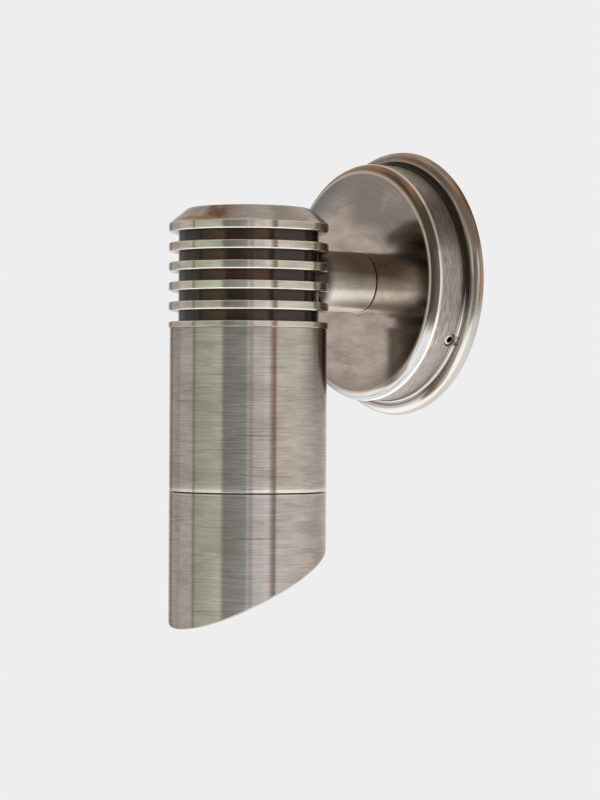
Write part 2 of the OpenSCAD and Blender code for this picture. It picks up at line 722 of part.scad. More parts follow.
// Lens glass
module lens_glass() color(clear_glass) on_head() translate([0, 0, glass_z])
  rotate_extrude() disc_section(lens_r, 0, lens_t, edge_break);

// Threaded ring over the lens, with two holes for a pin spanner
module lens_ring() color(plain_brass) on_head() translate([0, 0, lens_ring_z]) difference() {
  cylinder(r = carrier_bore_r - snug, h = lens_ring_t);
  translate([0, 0, -over]) cylinder(r = ledge_r, h = lens_ring_t + 2*over);
  for (s = [-1, 1]) translate([s*(carrier_bore_r + ledge_r)/2, 0, lens_ring_t/2])
    cylinder(d = spanner_hole_d, h = lens_ring_t);
}

// Glare hood: a tube cut off at a slant, its rim softened, with a socket on top
module hood() color(antique) on_head() rotate([0, 0, hood_turn]) difference() {
  translate([0, 0, hood_top_z - hood_long - over]) rotate_extrude()
    disc_section(head_r, 0, hood_long + over, edge_break);
  translate([0, 0, hood_top_z - hood_long - 2*over]) cylinder(r = bore_r, h = hood_long + 3*over);
  translate([0, 0, carrier_low_z - slip]) cylinder(r = socket_r, h = plug_down + slip + over);
  slanted_cut();
}

// Everything below the hood's slanted rim. Leaning the shape over by a shear
// keeps its sides upright, so that the softened edge follows the rim all round.
module slanted_cut() {
  soft = tube_wall/3;
  multmatrix([[1, 0, 0, 0], [0, 1, 0, 0], [0, hood_slope, 1, hood_mid_z], [0, 0, 0, 1]])
    rotate_extrude() polygon([[0, -hood_long], [head_r + 2*soft, -hood_long],
      [head_r + 2*soft, 3.4*soft], [head_r - 0.35*soft, 0.35*soft], [head_r - 1.2*soft, 0],
      [bore_r + 0.5*soft, 0], [bore_r - 0.5*soft, 0.5*soft], [0, 0.5*soft]]);
}

mounting_plate();
cable_grommet();
terminal_block();
terminal_screws();
block_screws();
earth_terminal();
wall_gasket();
canopy();
canopy_grub_screws();
nipple_washer();
nipple_nut();
nipple();
arm();
inner_lead();
block_leads();
holder_leads();
finned_top();
top_seal();
body_tube();
holder_bracket();
bracket_screws();
holder_screws();
lampholder();
lamp_body();
lamp_pins();
lamp_front();
lens_carrier();
carrier_seals();
lens_gasket();
lens_glass();
lens_ring();
hood();
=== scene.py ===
# %% [markdown]
# # An outdoor wall light in aged, brushed metal
#
# The light is turned from brass bar and tube, plated, then darkened with
# acid and rubbed back by hand. A metal like this has almost no colour of its
# own: it shows the room around it. So the lesson has three parts: the camera
# and a small photographer's studio, the five turned pieces that show from
# close by and are modelled again, and the finishes.

# %% Load the frame
import math

import bmesh
import bpy
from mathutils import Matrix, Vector


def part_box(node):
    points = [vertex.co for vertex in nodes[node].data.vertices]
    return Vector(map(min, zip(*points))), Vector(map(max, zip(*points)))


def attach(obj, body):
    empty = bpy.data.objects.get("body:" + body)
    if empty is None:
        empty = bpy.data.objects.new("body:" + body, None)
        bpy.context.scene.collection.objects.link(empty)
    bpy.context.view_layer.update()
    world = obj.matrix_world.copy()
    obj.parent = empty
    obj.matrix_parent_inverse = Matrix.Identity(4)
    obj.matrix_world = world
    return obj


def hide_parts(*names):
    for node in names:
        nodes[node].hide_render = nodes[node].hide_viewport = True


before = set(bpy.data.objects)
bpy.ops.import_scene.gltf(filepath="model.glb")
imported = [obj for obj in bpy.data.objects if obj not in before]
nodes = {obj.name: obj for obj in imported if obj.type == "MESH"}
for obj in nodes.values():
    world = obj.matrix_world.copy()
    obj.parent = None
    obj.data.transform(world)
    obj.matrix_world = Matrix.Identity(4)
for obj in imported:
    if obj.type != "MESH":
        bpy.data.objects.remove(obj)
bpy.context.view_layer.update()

# %% [markdown]
# ## The camera
#
# The light was photographed from its right, level with the arm, with a
# long lens from about a metre away. A long lens keeps the upright sides of
# the head parallel. The angle, the distance and the focal length below are the
# ones at which the model's edges lie on the photographed ones.

# %% Set up the camera
MM = 0.001  # One millimetre, in Blender's metres
camera_place = Vector((818.1, -675.1, -48.0)) * MM
camera_turn, camera_tilt, camera_roll = 52.59, 0.05, 0.30  # in degrees
camera_lens, camera_sensor = 118.07, 36  # in mm

bpy.ops.object.camera_add(
    location=camera_place,
    rotation=(math.radians(90 + camera_tilt), math.radians(-camera_roll), math.radians(camera_turn)),
)
camera = bpy.context.object
camera.data.lens = camera_lens
camera.data.sensor_width = camera_sensor
camera.data.clip_start = 0.01
bpy.context.scene.camera = camera
bpy.context.scene.view_settings.view_transform = "Standard"

head_low, head_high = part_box("body_tube")
head_axis = (head_low + head_high) / 2
print("head axis at", [round(v, 4) for v in head_axis])
print("camera", round((camera_place - head_axis).length, 3), "m from it")

# %% [markdown]
# ## Colours and nodes
#
# Colours are written as a painter reads them off a screen, in sRGB, and
# Blender calculates with linear light, so one function converts them. A
# second small function adds a shader node with its settings and links, which
# keeps each finish short enough to read at a glance.

# %% Colour and node helpers
def linear(hex_code):
    """An sRGB hex colour as linear red, green, blue and alpha."""
    parts = [int(hex_code[i:i + 2], 16) / 255 for i in (1, 3, 5)]
    return tuple(p / 12.92 if p <= 0.04045 else ((p + 0.055) / 1.055) ** 2.4 for p in parts) + (1.0,)


def node(tree, kind, settings=None, **links):
    """Adds a node. Settings are its properties; links are its sockets' values or the sockets that feed them."""
    made = tree.nodes.new(kind)
    for name, value in (settings or {}).items():
        setattr(made, name, value)
    for name, value in links.items():
        key = int(name[1:]) if name[0] == "_" else name.replace("_", " ")
        if isinstance(value, bpy.types.NodeSocket):
            tree.links.new(value, made.inputs[key])
        else:
            made.inputs[key].default_value = value
    return made


print("a mid grey on screen is", [round(v, 3) for v in linear("#808080")[:3]], "in linear light")

# %% [markdown]
# ## The studio
#
# Polished and brushed metal is lit with cards: large plain panels that stand
# around the object and show in it. An upright tube shows the whole ring of
# them at once, squeezed into upright bands. Separate panels would do as well.
# Here the ring is one open cylinder two metres away, painted in bands by a
# colour ramp that reads the angle round it, so that each band is one row in a
# table. Reflections alone see it, so it neither hides the light from another
# side nor colours the floor. The world behind it gives a soft light, and shows
# the camera a pale backdrop.

# %% The room light and the backdrop
def new_tree(owner):
    """The empty node tree of a material or a world."""
    owner.use_nodes = True
    owner.node_tree.nodes.clear()
    return owner.node_tree


world = bpy.data.worlds.new("studio_world")
bpy.context.scene.world = world
tree = new_tree(world)
# The backdrop shows to the camera, in reflections and through glass. All else gets the room's dimmer light
rays = node(tree, "ShaderNodeLightPath").outputs
shown = node(tree, "ShaderNodeMath", {"operation": "MAXIMUM"}, _0=rays["Is Camera Ray"], _1=rays["Is Glossy Ray"])
shown = node(tree, "ShaderNodeMath", {"operation": "MAXIMUM"}, _0=shown.outputs[0], _1=rays["Is Transmission Ray"])
room = node(tree, "ShaderNodeBackground", Color=linear("#E4E2DE"), Strength=0.75)
backdrop = node(tree, "ShaderNodeBackground", Color=linear("#EEEEEE"), Strength=1.0)
mixed = node(tree, "ShaderNodeMixShader", _0=shown.outputs[0], _1=room.outputs[0], _2=backdrop.outputs[0])
node(tree, "ShaderNodeOutputWorld", Surface=mixed.outputs[0])
print(world.name, "uses", len(tree.nodes), "nodes")

# %% The table of cards
PALE, WHITE, WARM, PINK, GREY = "#E2E2E2", "#F7F6F8", "#F1EEEA", "#EAE8E8", "#BDBBBA"
STONE, UMBER, DRAB, MOSS, CLAY = "#D5CFCC", "#877A73", "#958A83", "#8A8F80", "#C6A695"
LEAF, PALE_LEAF, SLATE, PALE_SLATE = "#C2CBBD", "#DBE5D6", "#8F9193", "#A5A9AB"
# A card stands between two angles in degrees, counted to the right from the camera. It has one tone, or is shaded
# from one to another. Between two cards the ring is shaded from the one's last tone to the other's first. A ramp
# holds 32 stops, so there are 16 cards at most
ring_cards = (
    (-180, -168, PALE), (-155.5, -149, DRAB), (-142, -122, GREY), (-116, -91.5, STONE), (-88.6, -86.6, MOSS),
    (-84.5, -43, LEAF, PALE_LEAF), (-37.5, -4.4, SLATE, PALE_SLATE), (-3.2, -2, PALE), (-0.4, 4, GREY),
    (6, 20, PINK), (22, 29, WHITE), (31.4, 33.6, CLAY), (35.6, 37.8, UMBER), (40.4, 74, WARM),
    (125, 152, STONE), (162, 179, PALE),
)
for low, high, *tones in ring_cards:
    print("card from", low, "to", high, "degrees:", *tones)

# %% The paint of the cards
# The table counts from the camera's direction and a little more, which brings all bands to their place on the tube
RING_TURN = 2.4
facing = math.degrees(math.atan2(camera_place.y - head_axis.y, camera_place.x - head_axis.x)) + RING_TURN


def card_paint(name, cards, strength_low, strength_high, low, high):
    """Glowing paint in bands round the light, its strength changing from one height to another."""
    made = bpy.data.materials.new(name)
    made.cycles.emission_sampling = "NONE"
    tree = new_tree(made)
    where = node(tree, "ShaderNodeTexCoord").outputs["Object"]
    turned = node(
        tree, "ShaderNodeMapping", {"vector_type": "TEXTURE"}, Vector=where,
        Location=(0, head_axis.y, 0), Rotation=(0, 0, math.radians(facing)),
    ).outputs[0]
    parts = node(tree, "ShaderNodeSeparateXYZ", Vector=turned).outputs
    angle = node(tree, "ShaderNodeMath", {"operation": "ARCTAN2"}, _0=parts["Y"], _1=parts["X"]).outputs[0]
    turns = node(tree, "ShaderNodeMapRange", Value=angle, From_Min=-math.pi, From_Max=math.pi).outputs[0]
    ramp = node(tree, "ShaderNodeValToRGB", Fac=turns)
    edges = [stop for start, end, *tones in cards for stop in ((start, tones[0]), (end, tones[-1]))]
    while len(ramp.color_ramp.elements) < len(edges):
        ramp.color_ramp.elements.new(0.5)
    for element, (degrees, tone) in zip(ramp.color_ramp.elements, edges):
        element.position, element.color = (degrees + 180) / 360, linear(tone)
    strength = node(
        tree, "ShaderNodeMapRange", Value=parts["Z"], From_Min=low, From_Max=high,
        To_Min=strength_low, To_Max=strength_high,
    ).outputs[0]
    light = node(tree, "ShaderNodeEmission", Color=ramp.outputs[0], Strength=strength)
    node(tree, "ShaderNodeOutputMaterial", Surface=light.outputs[0])
    return made


def only_reflected(made, name, paint):
    """Names and paints a card, and hides it from all rays but reflected ones."""
    made.name = name
    made.data.materials.append(paint)
    made.visible_camera = made.visible_diffuse = made.visible_shadow = False
    made.visible_volume_scatter = False
    bpy.ops.object.transform_apply(location=True, rotation=True, scale=True)
    print(name, "size in m:", [round(v, 2) for v in made.dimensions])


# %% The ring of cards
CARD_RING = 2.0
CARD_LOW, CARD_HIGH = -0.85, 1.0
CARD_SIDES = 90
bpy.ops.object.select_all(action="DESELECT")
bpy.ops.mesh.primitive_cylinder_add(
    vertices=CARD_SIDES, radius=CARD_RING, depth=CARD_HIGH - CARD_LOW, end_fill_type="NOTHING",
    location=(0, head_axis.y, (CARD_HIGH + CARD_LOW) / 2),
)
# The ring glows a little more low down, as the bands on the photographed tube do
ring_paint = card_paint("card_ring_paint", ring_cards, 1.08, 0.92, CARD_LOW, CARD_HIGH)
only_reflected(bpy.context.object, "card_ring", ring_paint)

# %% The ceiling: a dim slope all round and a grey panel straight above
CEILING = 1.9
PANEL_R = 0.7
SAND = "#CDC5BB"
slope_cards = ((-180, -134, SAND), (-110, -70, "#9A9088"), (-50, 50, "#B0A9A2"), (80, 120, "#85756A"), (134, 179, SAND))
bpy.ops.object.select_all(action="DESELECT")
bpy.ops.mesh.primitive_cone_add(
    vertices=CARD_SIDES, radius1=CARD_RING, radius2=PANEL_R, depth=CEILING - CARD_HIGH, end_fill_type="NOTHING",
    location=(0, head_axis.y, (CEILING + CARD_HIGH) / 2),
)
slope_paint = card_paint("card_slope_paint", slope_cards, 1.0, 0.85, CARD_HIGH, CEILING)
only_reflected(bpy.context.object, "card_slope", slope_paint)

bpy.ops.object.select_all(action="DESELECT")
bpy.ops.mesh.primitive_circle_add(
    vertices=CARD_SIDES, radius=PANEL_R, fill_type="NGON", location=(0, head_axis.y, CEILING)
)
panel_paint = card_paint("card_panel_paint", ((-180, 179, "#C6C0B8"),), 1.0, 1.0, 0, 1)
only_reflected(bpy.context.object, "card_panel", panel_paint)

# %% [markdown]
# ## The floor
#
# A pale disc lies under the light and catches its shadow. It fades out
# towards its edge, so that it has no horizon against the backdrop. Metal sees
# it as a white sweep that is lit from below, which draws the bright lines
# under each fin. From underneath the disc is clear, so that it doesn't hide the
# light from a camera that looks up into the hood.

# %% The floor
FLOOR_Z, FLOOR_R = -0.35, 0.9
# The disc starts to fade here and is gone there, in shares of its radius
FADE_START, FADE_END = 0.35, 0.98
bpy.ops.object.select_all(action="DESELECT")
bpy.ops.mesh.primitive_circle_add(
    vertices=96, radius=FLOOR_R, fill_type="NGON", location=(0, head_axis.y, FLOOR_Z)
)
floor = bpy.context.object
floor.name = "floor"
bpy.ops.object.transform_apply(location=True)

floor_paint = bpy.data.materials.new("painted_floor")
floor_paint.cycles.emission_sampling = "NONE"
tree = new_tree(floor_paint)
where = node(tree, "ShaderNodeTexCoord").outputs["Object"]
from_middle = node(tree, "ShaderNodeVectorMath", {"operation": "DISTANCE"}, _0=where, _1=(0, head_axis.y, FLOOR_Z))
fade = node(
    tree, "ShaderNodeMapRange", {"interpolation_type": "SMOOTHSTEP"},
    Value=from_middle.outputs["Value"], From_Min=FADE_START * FLOOR_R, From_Max=FADE_END * FLOOR_R,
)
matt = node(tree, "ShaderNodeBsdfDiffuse", Color=linear("#F2F2F2"))
sweep = node(tree, "ShaderNodeEmission", Color=linear("#FFFDFA"), Strength=1.35)
clear = node(tree, "ShaderNodeBsdfTransparent")
mirrored = node(tree, "ShaderNodeLightPath").outputs["Is Glossy Ray"]
top = node(tree, "ShaderNodeMixShader", _0=mirrored, _1=matt.outputs[0], _2=sweep.outputs[0])
both = node(tree, "ShaderNodeMixShader", _0=fade.outputs[0], _1=top.outputs[0], _2=clear.outputs[0])
underneath = node(tree, "ShaderNodeNewGeometry").outputs["Backfacing"]
sided = node(tree, "ShaderNodeMixShader", _0=underneath, _1=both.outputs[0], _2=clear.outputs[0])
node(tree, "ShaderNodeOutputMaterial", Surface=sided.outputs[0])
floor.data.materials.append(floor_paint)
print("floor", round(-FLOOR_Z, 2), "m below the arm,", len(tree.nodes), "nodes")

# %% [markdown]
# ## The key light
#
# One large lamp hangs high in front and a little to the right. It lights what
# is matt, such as rubber and porcelain, and gives the floor its shadow. A sun
# would draw that shadow too hard. Metal doesn't mirror the lamp, because the
# cards already draw all of its highlights.

# %% Add the key light
KEY_PLACE, KEY_WIDE, KEY_TALL, KEY_WATTS = (0.5, -1.6, 1.5), 1.4, 1.0, 24
bpy.ops.object.light_add(type="AREA", location=KEY_PLACE)
key = bpy.context.object
key.name = "key_light"
key.data.shape = "RECTANGLE"
key.data.size = KEY_WIDE
key.data.size_y = KEY_TALL
key.data.energy = KEY_WATTS
key.visible_glossy = False
key.rotation_euler = (head_axis - key.location).to_track_quat("-Z", "Y").to_euler()
print("key light", round((head_axis - key.location).length, 2), "m from the head")

# %% [markdown]
# ## Turning a piece
#
# Top, tube, hood, canopy and arm come off a lathe. On screen a lathe is one
# half-section, drawn as a chain of points, and the Spin tool. The corners are
# rounded with Bevel while they are still points, which costs nothing and gives
# every edge of the turned piece the small round that catches the light. A
# cylinder with a Bevel modifier would also do for the tube, but not for fins.

# %% Draw points and pick them
def first_point(name):
    """One point at the middle of the scene, in edit mode, as the start of a drawing."""
    bpy.ops.object.select_all(action="DESELECT")
    bpy.ops.mesh.primitive_plane_add(size=MM)
    piece = bpy.context.object
    piece.name = name
    bpy.ops.object.mode_set(mode="EDIT")
    bpy.ops.mesh.select_mode(type="VERT")
    bpy.ops.mesh.select_all(action="SELECT")
    bpy.ops.mesh.merge(type="CENTER")
    return piece


def pick(kind, wanted):
    """In edit mode, selects the verts, edges or faces whose middle, in mm, passes a test."""
    bpy.ops.mesh.select_mode(type={"verts": "VERT", "edges": "EDGE", "faces": "FACE"}[kind])
    bpy.ops.mesh.select_all(action="DESELECT")
    mesh = bmesh.from_edit_mesh(bpy.context.object.data)
    count = 0
    for element in getattr(mesh, kind):
        corners = [element] if kind == "verts" else element.verts
        middle = sum((corner.co for corner in corners), Vector()) / len(corners) / MM
        if wanted(middle):
            element.select_set(True)
            count += 1
    bmesh.update_edit_mesh(bpy.context.object.data)
    return count


# %% Round and spin a half-section
# Points closer than these, in mm, are the same corner, or are welded into one
SAME_SPOT, WELD = 0.001, 0.002


def pick_corners(spots):
    """Selects the points of a half-section that lie at the given (radius, height) places."""
    corners = [Vector((radius, 0, height)) for radius, height in spots]
    pick("verts", lambda spot: any((spot - corner).length < SAME_SPOT for corner in corners))


def turned_piece(name, section, rounds=(), closed=False, steps=128):
    """Spins a half-section of (radius, height) points in mm round Z. Rounds are (radius, height, size) of corners.
    A closed section is joined end to end, and one that isn't starts and ends on the axis."""
    piece = first_point(name)
    radius, height = section[0]
    bpy.ops.transform.translate(value=(radius * MM, 0, height * MM))
    for next_radius, next_height in section[1:]:
        step = ((next_radius - radius) * MM, 0, (next_height - height) * MM)
        bpy.ops.mesh.extrude_vertices_move(TRANSFORM_OT_translate={"value": step})
        radius, height = next_radius, next_height
    if closed:
        pick_corners((section[0], section[-1]))
        bpy.ops.mesh.edge_face_add()
    for size in sorted({size for _, _, size in rounds}):
        pick_corners([(radius, height) for radius, height, wanted in rounds if wanted == size])
        bpy.ops.mesh.bevel(offset=size * MM, segments=3, affect="VERTICES")
    bpy.ops.mesh.select_all(action="SELECT")
    bpy.ops.mesh.spin(steps=steps, angle=2 * math.pi, center=(0, 0, 0), axis=(0, 0, 1))
    bpy.ops.mesh.select_all(action="SELECT")
    bpy.ops.mesh.remove_doubles(threshold=WELD * MM)
    bpy.ops.mesh.normals_make_consistent(inside=False)
    bpy.ops.object.mode_set(mode="OBJECT")
    return piece


# %% Place, cut and show a piece
def only_selected(piece):
    """Selects one piece and makes it the active one."""
    bpy.ops.object.select_all(action="DESELECT")
    piece.select_set(True)
    bpy.context.view_layer.objects.active = piece


def put(piece, at, turn=(0, 0, 0)):
    """Turns a piece by degrees and moves it to its place, both in its mesh."""
    only_selected(piece)
    piece.location = at
    piece.rotation_euler = [math.radians(degrees) for degrees in turn]
    bpy.ops.object.transform_apply(location=True, rotation=True, scale=True)


def apply_last(piece):
    """Applies the modifier that was added last."""
    bpy.ops.object.modifier_apply(modifier=piece.modifiers[-1].name)


def cut_away(piece, cutters):
    """Takes the joined cutters away from a piece with a Boolean modifier."""
    only_selected(cutters[0])
    for cutter in cutters[1:]:
        cutter.select_set(True)
    if len(cutters) > 1:
        bpy.ops.object.join()
    cutter = bpy.context.object
    only_selected(piece)
    bpy.ops.object.modifier_add(type="BOOLEAN")
    piece.modifiers[-1].operation = "DIFFERENCE"
    piece.modifiers[-1].object = cutter
    apply_last(piece)
    only_selected(cutter)
    bpy.ops.object.delete()


def show(piece, node_name, body):
    """Smooths a finished piece and lets it stand for its CAD node."""
    only_selected(piece)
    bpy.ops.object.shade_smooth_by_angle(angle=math.radians(38))
    bpy.ops.object.modifier_add(type="WEIGHTED_NORMAL")
    piece.modifiers[-1].keep_sharp = True
    apply_last(piece)
    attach(piece, body)
    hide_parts(node_name)
    print(piece.name, "has", len(piece.data.polygons), "faces, in mm:", [round(v / MM, 2) for v in piece.dimensions])


# %% [markdown]
# ## The finned top
#
# Cap, four fins, core and rim are turned from one brass bar, with a parting
# tool for the grooves. The section below follows that order, from the middle
# of the cap outwards and down. Heights count from the arm's axis. The lower
# edge of each fin is rounded more than the upper one, as on the real light,
# where it shows as a bright line. A cutter then sinks the arm's round seat into
# the side, through the fins and down to a flat on the core. Discs stacked on a
# cylinder would look alike from afar, but the real top is all one piece.

# %% Sizes of the head, in mm
axis_spot = Vector((0, head_axis.y, 0))
# Radii of the tube, its bore, the sockets at its ends, the fins and the core between them
HEAD_R, BORE_R, SOCKET_R, FIN_R, CORE_R = 30.45, 27.45, 28.45, 30.95, 27.15
# A fin's thickness, the step from fin to fin, the lowest fin's lower face, and how many there are
FIN_T, FIN_PITCH, FIN_LOW, FINS = 3.5, 7.6, -13.15, 4
# The cap's lower face, the foot of its slope, its flat top and the radius of that
CAP_LOW, SLOPE_LOW, CAP_TOP, FLAT_R = 17.25, 20.65, 26.85, 23.45
# The rim, the plug that goes into the tube, the seal's groove in it and the pocket for the lampholder
RIM_TOP, RIM_LOW, PLUG_R, PLUG_LOW = -17.25, -19.65, SOCKET_R - 0.05, -31.65
GROOVE_R, GROOVE_TOP, GROOVE_LOW, POCKET_R, POCKET_TOP = 26.61, -26.25, -28.65, 18.5, 8.0
# Roundings: both sides of a fin, and the cap's edges
UPPER_ROUND, LOWER_ROUND, SLOPE_ROUND, FLAT_ROUND = 0.35, 0.7, 0.3, 1.3
print(FINS, "fins of", FIN_T, "mm with grooves of", round(FIN_PITCH - FIN_T, 2), "mm")

# %% Turn the finned top
section = [(0, CAP_TOP), (FLAT_R, CAP_TOP), (FIN_R, SLOPE_LOW), (FIN_R, CAP_LOW), (CORE_R, CAP_LOW)]
rounds = [(FLAT_R, CAP_TOP, FLAT_ROUND), (FIN_R, SLOPE_LOW, SLOPE_ROUND), (FIN_R, CAP_LOW, LOWER_ROUND)]
for number in reversed(range(FINS)):
    low = FIN_LOW + number * FIN_PITCH
    section += [(CORE_R, low + FIN_T), (FIN_R, low + FIN_T), (FIN_R, low), (CORE_R, low)]
    rounds += [(FIN_R, low + FIN_T, UPPER_ROUND), (FIN_R, low, LOWER_ROUND)]
section += [(CORE_R, RIM_TOP), (FIN_R, RIM_TOP), (FIN_R, RIM_LOW), (PLUG_R, RIM_LOW)]
rounds += [(FIN_R, RIM_TOP, UPPER_ROUND), (FIN_R, RIM_LOW, UPPER_ROUND)]
section += [(PLUG_R, GROOVE_TOP), (GROOVE_R, GROOVE_TOP), (GROOVE_R, GROOVE_LOW), (PLUG_R, GROOVE_LOW)]
section += [(PLUG_R, PLUG_LOW), (POCKET_R, PLUG_LOW), (POCKET_R, POCKET_TOP), (0, POCKET_TOP)]
turned_top = turned_piece("turned_top", section, rounds)
print("half-section of", len(section), "points")

# %% Cut the arm's seat and two screw holes, and show the top
# The seat's distance from the axis, its radius, and the radius of the hole for the threaded nipple
SEAT_Y, SEAT_R, NIPPLE_R = 23.85, 12.05, 5.05
# The seat's cutter reaches from inside the pocket to outside the fins
SEAT_FROM, SEAT_TO = 9, 34
# The screw holes go up into the plug's end. Their cutter starts a little below it
SCREW_X, SCREW_R, SCREW_DEEP, OVERSHOOT = 22.2, 1.3, 6, 1
screw_section = [(0, -OVERSHOOT), (SCREW_R, -OVERSHOOT), (SCREW_R, SCREW_DEEP), (0, SCREW_DEEP)]

seat_section = [
    (0, SEAT_FROM), (NIPPLE_R, SEAT_FROM), (NIPPLE_R, SEAT_Y), (SEAT_R, SEAT_Y), (SEAT_R, SEAT_TO), (0, SEAT_TO),
]
seat = turned_piece("seat_cutter", seat_section)
# Each cutter is turned a little round itself. Its corners then miss the bar's corners, and no sliver faces are left
put(seat, (0, 0, 0), (-90, 1.4, 0))
cutters = [seat]
for side in (-1, 1):
    hole = turned_piece("screw_hole", screw_section, steps=24)
    put(hole, (side * SCREW_X * MM, 0, PLUG_LOW * MM), (0, 0, 4))
    cutters.append(hole)
cut_away(turned_top, cutters)
put(turned_top, axis_spot)
show(turned_top, "finned_top", "wall_part")

# %% [markdown]
# ## The body tube and the hood
#
# Both are cut from one thick tube, with a wider socket bored at each joint.
# The hood is sawn off at a slant. Bisect does the same cut on the mesh and
# leaves two open loops, which Bridge Edge Loops closes with a flat rim. Its
# edges are then bevelled round, as the file and the buffing wheel leave them.
# A Boolean would cut as well, but it leaves long thin faces on the rim.

# %% Model the body tube
TUBE_LOW, SOCKET_UP, SOCKET_DOWN = -82.25, -73.25, -31.95
# The edges at the seam are rounded less than the one under the rim
TUBE_ROUND, SEAM_ROUND = 0.3, 0.12
section = [
    (HEAD_R, RIM_LOW), (HEAD_R, TUBE_LOW), (SOCKET_R, TUBE_LOW), (SOCKET_R, SOCKET_UP),
    (BORE_R, SOCKET_UP), (BORE_R, SOCKET_DOWN), (SOCKET_R, SOCKET_DOWN), (SOCKET_R, RIM_LOW),
]
rounds = [(HEAD_R, RIM_LOW, TUBE_ROUND), (HEAD_R, TUBE_LOW, SEAM_ROUND)]
turned_tube = turned_piece("turned_tube", section, rounds, closed=True)
put(turned_tube, axis_spot)
show(turned_tube, "body_tube", "wall_part")

# %% Turn the hood and saw it off
# The hood is turned longer than it will be. The slant is the cut's rise for each mm that it goes back
HOOD_TOP, HOOD_SOCKET, HOOD_BLANK = -82.5, -91.05, -140
SLANT_MIDDLE, SLANT = -119.28, 0.5172
section = [
    (HEAD_R, HOOD_TOP), (HEAD_R, HOOD_BLANK), (BORE_R, HOOD_BLANK),
    (BORE_R, HOOD_SOCKET), (SOCKET_R, HOOD_SOCKET), (SOCKET_R, HOOD_TOP),
]
turned_hood = turned_piece("turned_hood", section, [(HEAD_R, HOOD_TOP, SEAM_ROUND)], closed=True)
bpy.ops.object.mode_set(mode="EDIT")
bpy.ops.mesh.select_all(action="SELECT")
bpy.ops.mesh.bisect(plane_co=(0, 0, SLANT_MIDDLE * MM), plane_no=(0, -SLANT, 1), clear_inner=True)
bpy.ops.mesh.select_mode(type="EDGE")
bpy.ops.mesh.select_all(action="DESELECT")
bpy.ops.mesh.select_non_manifold()
bpy.ops.mesh.bridge_edge_loops()
print("the cut rises", round(2 * HEAD_R * SLANT, 1), "mm from front to back")

# %% Round the hood's rim and show it
HOOD_TURN = -8
# How far from the axis the outer and the inner edge of the rim lie, at least and at most, and their roundings
rim_edges = ((29.5, 31, 0.9), (27, 28.5, 0.5))


def on_rim(low, high):
    """A test for edges that lie on the slant, between two distances from the axis."""
    return lambda spot: abs(spot.z - SLANT_MIDDLE - SLANT * spot.y) < 0.01 and low < spot.xy.length < high


for low, high, size in rim_edges:
    count = pick("edges", on_rim(low, high))
    bpy.ops.mesh.bevel(offset=size * MM, segments=3, affect="EDGES")
    print("rim edges rounded:", count)
bpy.ops.object.mode_set(mode="OBJECT")
put(turned_hood, axis_spot, (0, 0, HOOD_TURN))
show(turned_hood, "hood", "hood")

# %% [markdown]
# ## The canopy
#
# The round cover against the wall has the richest section: a half-round rim, a
# hollow cove, a straight drum, a fine lip, a slightly swollen shoulder and the
# flat face. Its distances count from the wall. It is spun upright and then
# laid over, so that it faces the room. Three screw holes with a small
# countersink are modelled once, copied round and cut from the drum. Stacked
# cylinders would be quicker, but their steps have none of these curves.

# %% Turn the canopy
def arc(middle, radius, first, last, steps):
    """Points on an arc of a section, its angles in degrees from straight outwards."""
    turns = [math.radians(first + (last - first) * i / steps) for i in range(steps + 1)]
    return [(middle[0] + radius * math.cos(t), middle[1] + radius * math.sin(t)) for t in turns]


# Distances from the wall: the face, both sides of the lip, the drum's front and the cove's bottom
FACE_D, LIP_D, LIP_BACK, DRUM_D, COVE_D = 20.5, 16.6, 16.4, 16.2, 4.2
FACE_R, LIP_R, DRUM_R, COVE_ROUND = 44.1, 47.3, 47.1, 2
# The shoulder swells between the face and the lip
SHOULDER = [(45.25, 19.8), (46.5, 18.4)]
# The rim's rounding: how far its middle is from the axis, its radius, and the gap that it leaves at the wall
RIM_R, RIM_ROUND, WALL_GAP = 48.9, 4, 0.4
# The gasket's groove in the back, and the hollow inside with its sloping corner
GASKET_IN, GASKET_OUT, GASKET_D = 45.5, 50.5, 1.6
HOLLOW_R, CORNER_R, CORNER_D, HOLLOW_D = 43.5, 41.5, 16, 18

section = [(NIPPLE_R, FACE_D), (FACE_R, FACE_D)] + SHOULDER
section += [(LIP_R, LIP_D), (LIP_R, LIP_BACK), (DRUM_R, DRUM_D)]
section += arc((DRUM_R + COVE_ROUND, COVE_D + COVE_ROUND), COVE_ROUND, 180, 270, 8)
section += arc((RIM_R, WALL_GAP), RIM_ROUND, 87, 0, 12)
section += [(GASKET_OUT, WALL_GAP), (GASKET_OUT, GASKET_D), (GASKET_IN, GASKET_D), (GASKET_IN, WALL_GAP)]
section += [(HOLLOW_R, WALL_GAP), (HOLLOW_R, CORNER_D), (CORNER_R, HOLLOW_D), (NIPPLE_R, HOLLOW_D)]
turned_canopy = turned_piece("turned_canopy", section, [(FACE_R, FACE_D, 0.45)], closed=True, steps=160)
put(turned_canopy, (0, 0, 0), (90, 0, 0))
print("half-section of", len(section), "points")

# %% Cut the screw holes and show the canopy
# The holes' distance from the wall, their radius, and that of the countersink
GRUB_D, GRUB_R, SINK_R = 7.095, 2.55, 3.15
# A hole's cutter, outwards from the canopy's middle: from the hollow to the countersink, and on past the drum
HOLE_FROM, SINK_FROM, SINK_TO, HOLE_TO = 42.5, 46.8, 47.4, 49
hole_section = [
    (0, HOLE_FROM), (GRUB_R, HOLE_FROM), (GRUB_R, SINK_FROM), (SINK_R, SINK_TO), (SINK_R, HOLE_TO), (0, HOLE_TO),
]
cutters = []
for degrees in (-30, 90, 210):
    hole = turned_piece("grub_hole", hole_section, steps=32)
    put(hole, (0, -GRUB_D * MM, 0), (0, 90 - degrees, 0))
    cutters.append(hole)
cut_away(turned_canopy, cutters)
show(turned_canopy, "canopy", "wall_part")

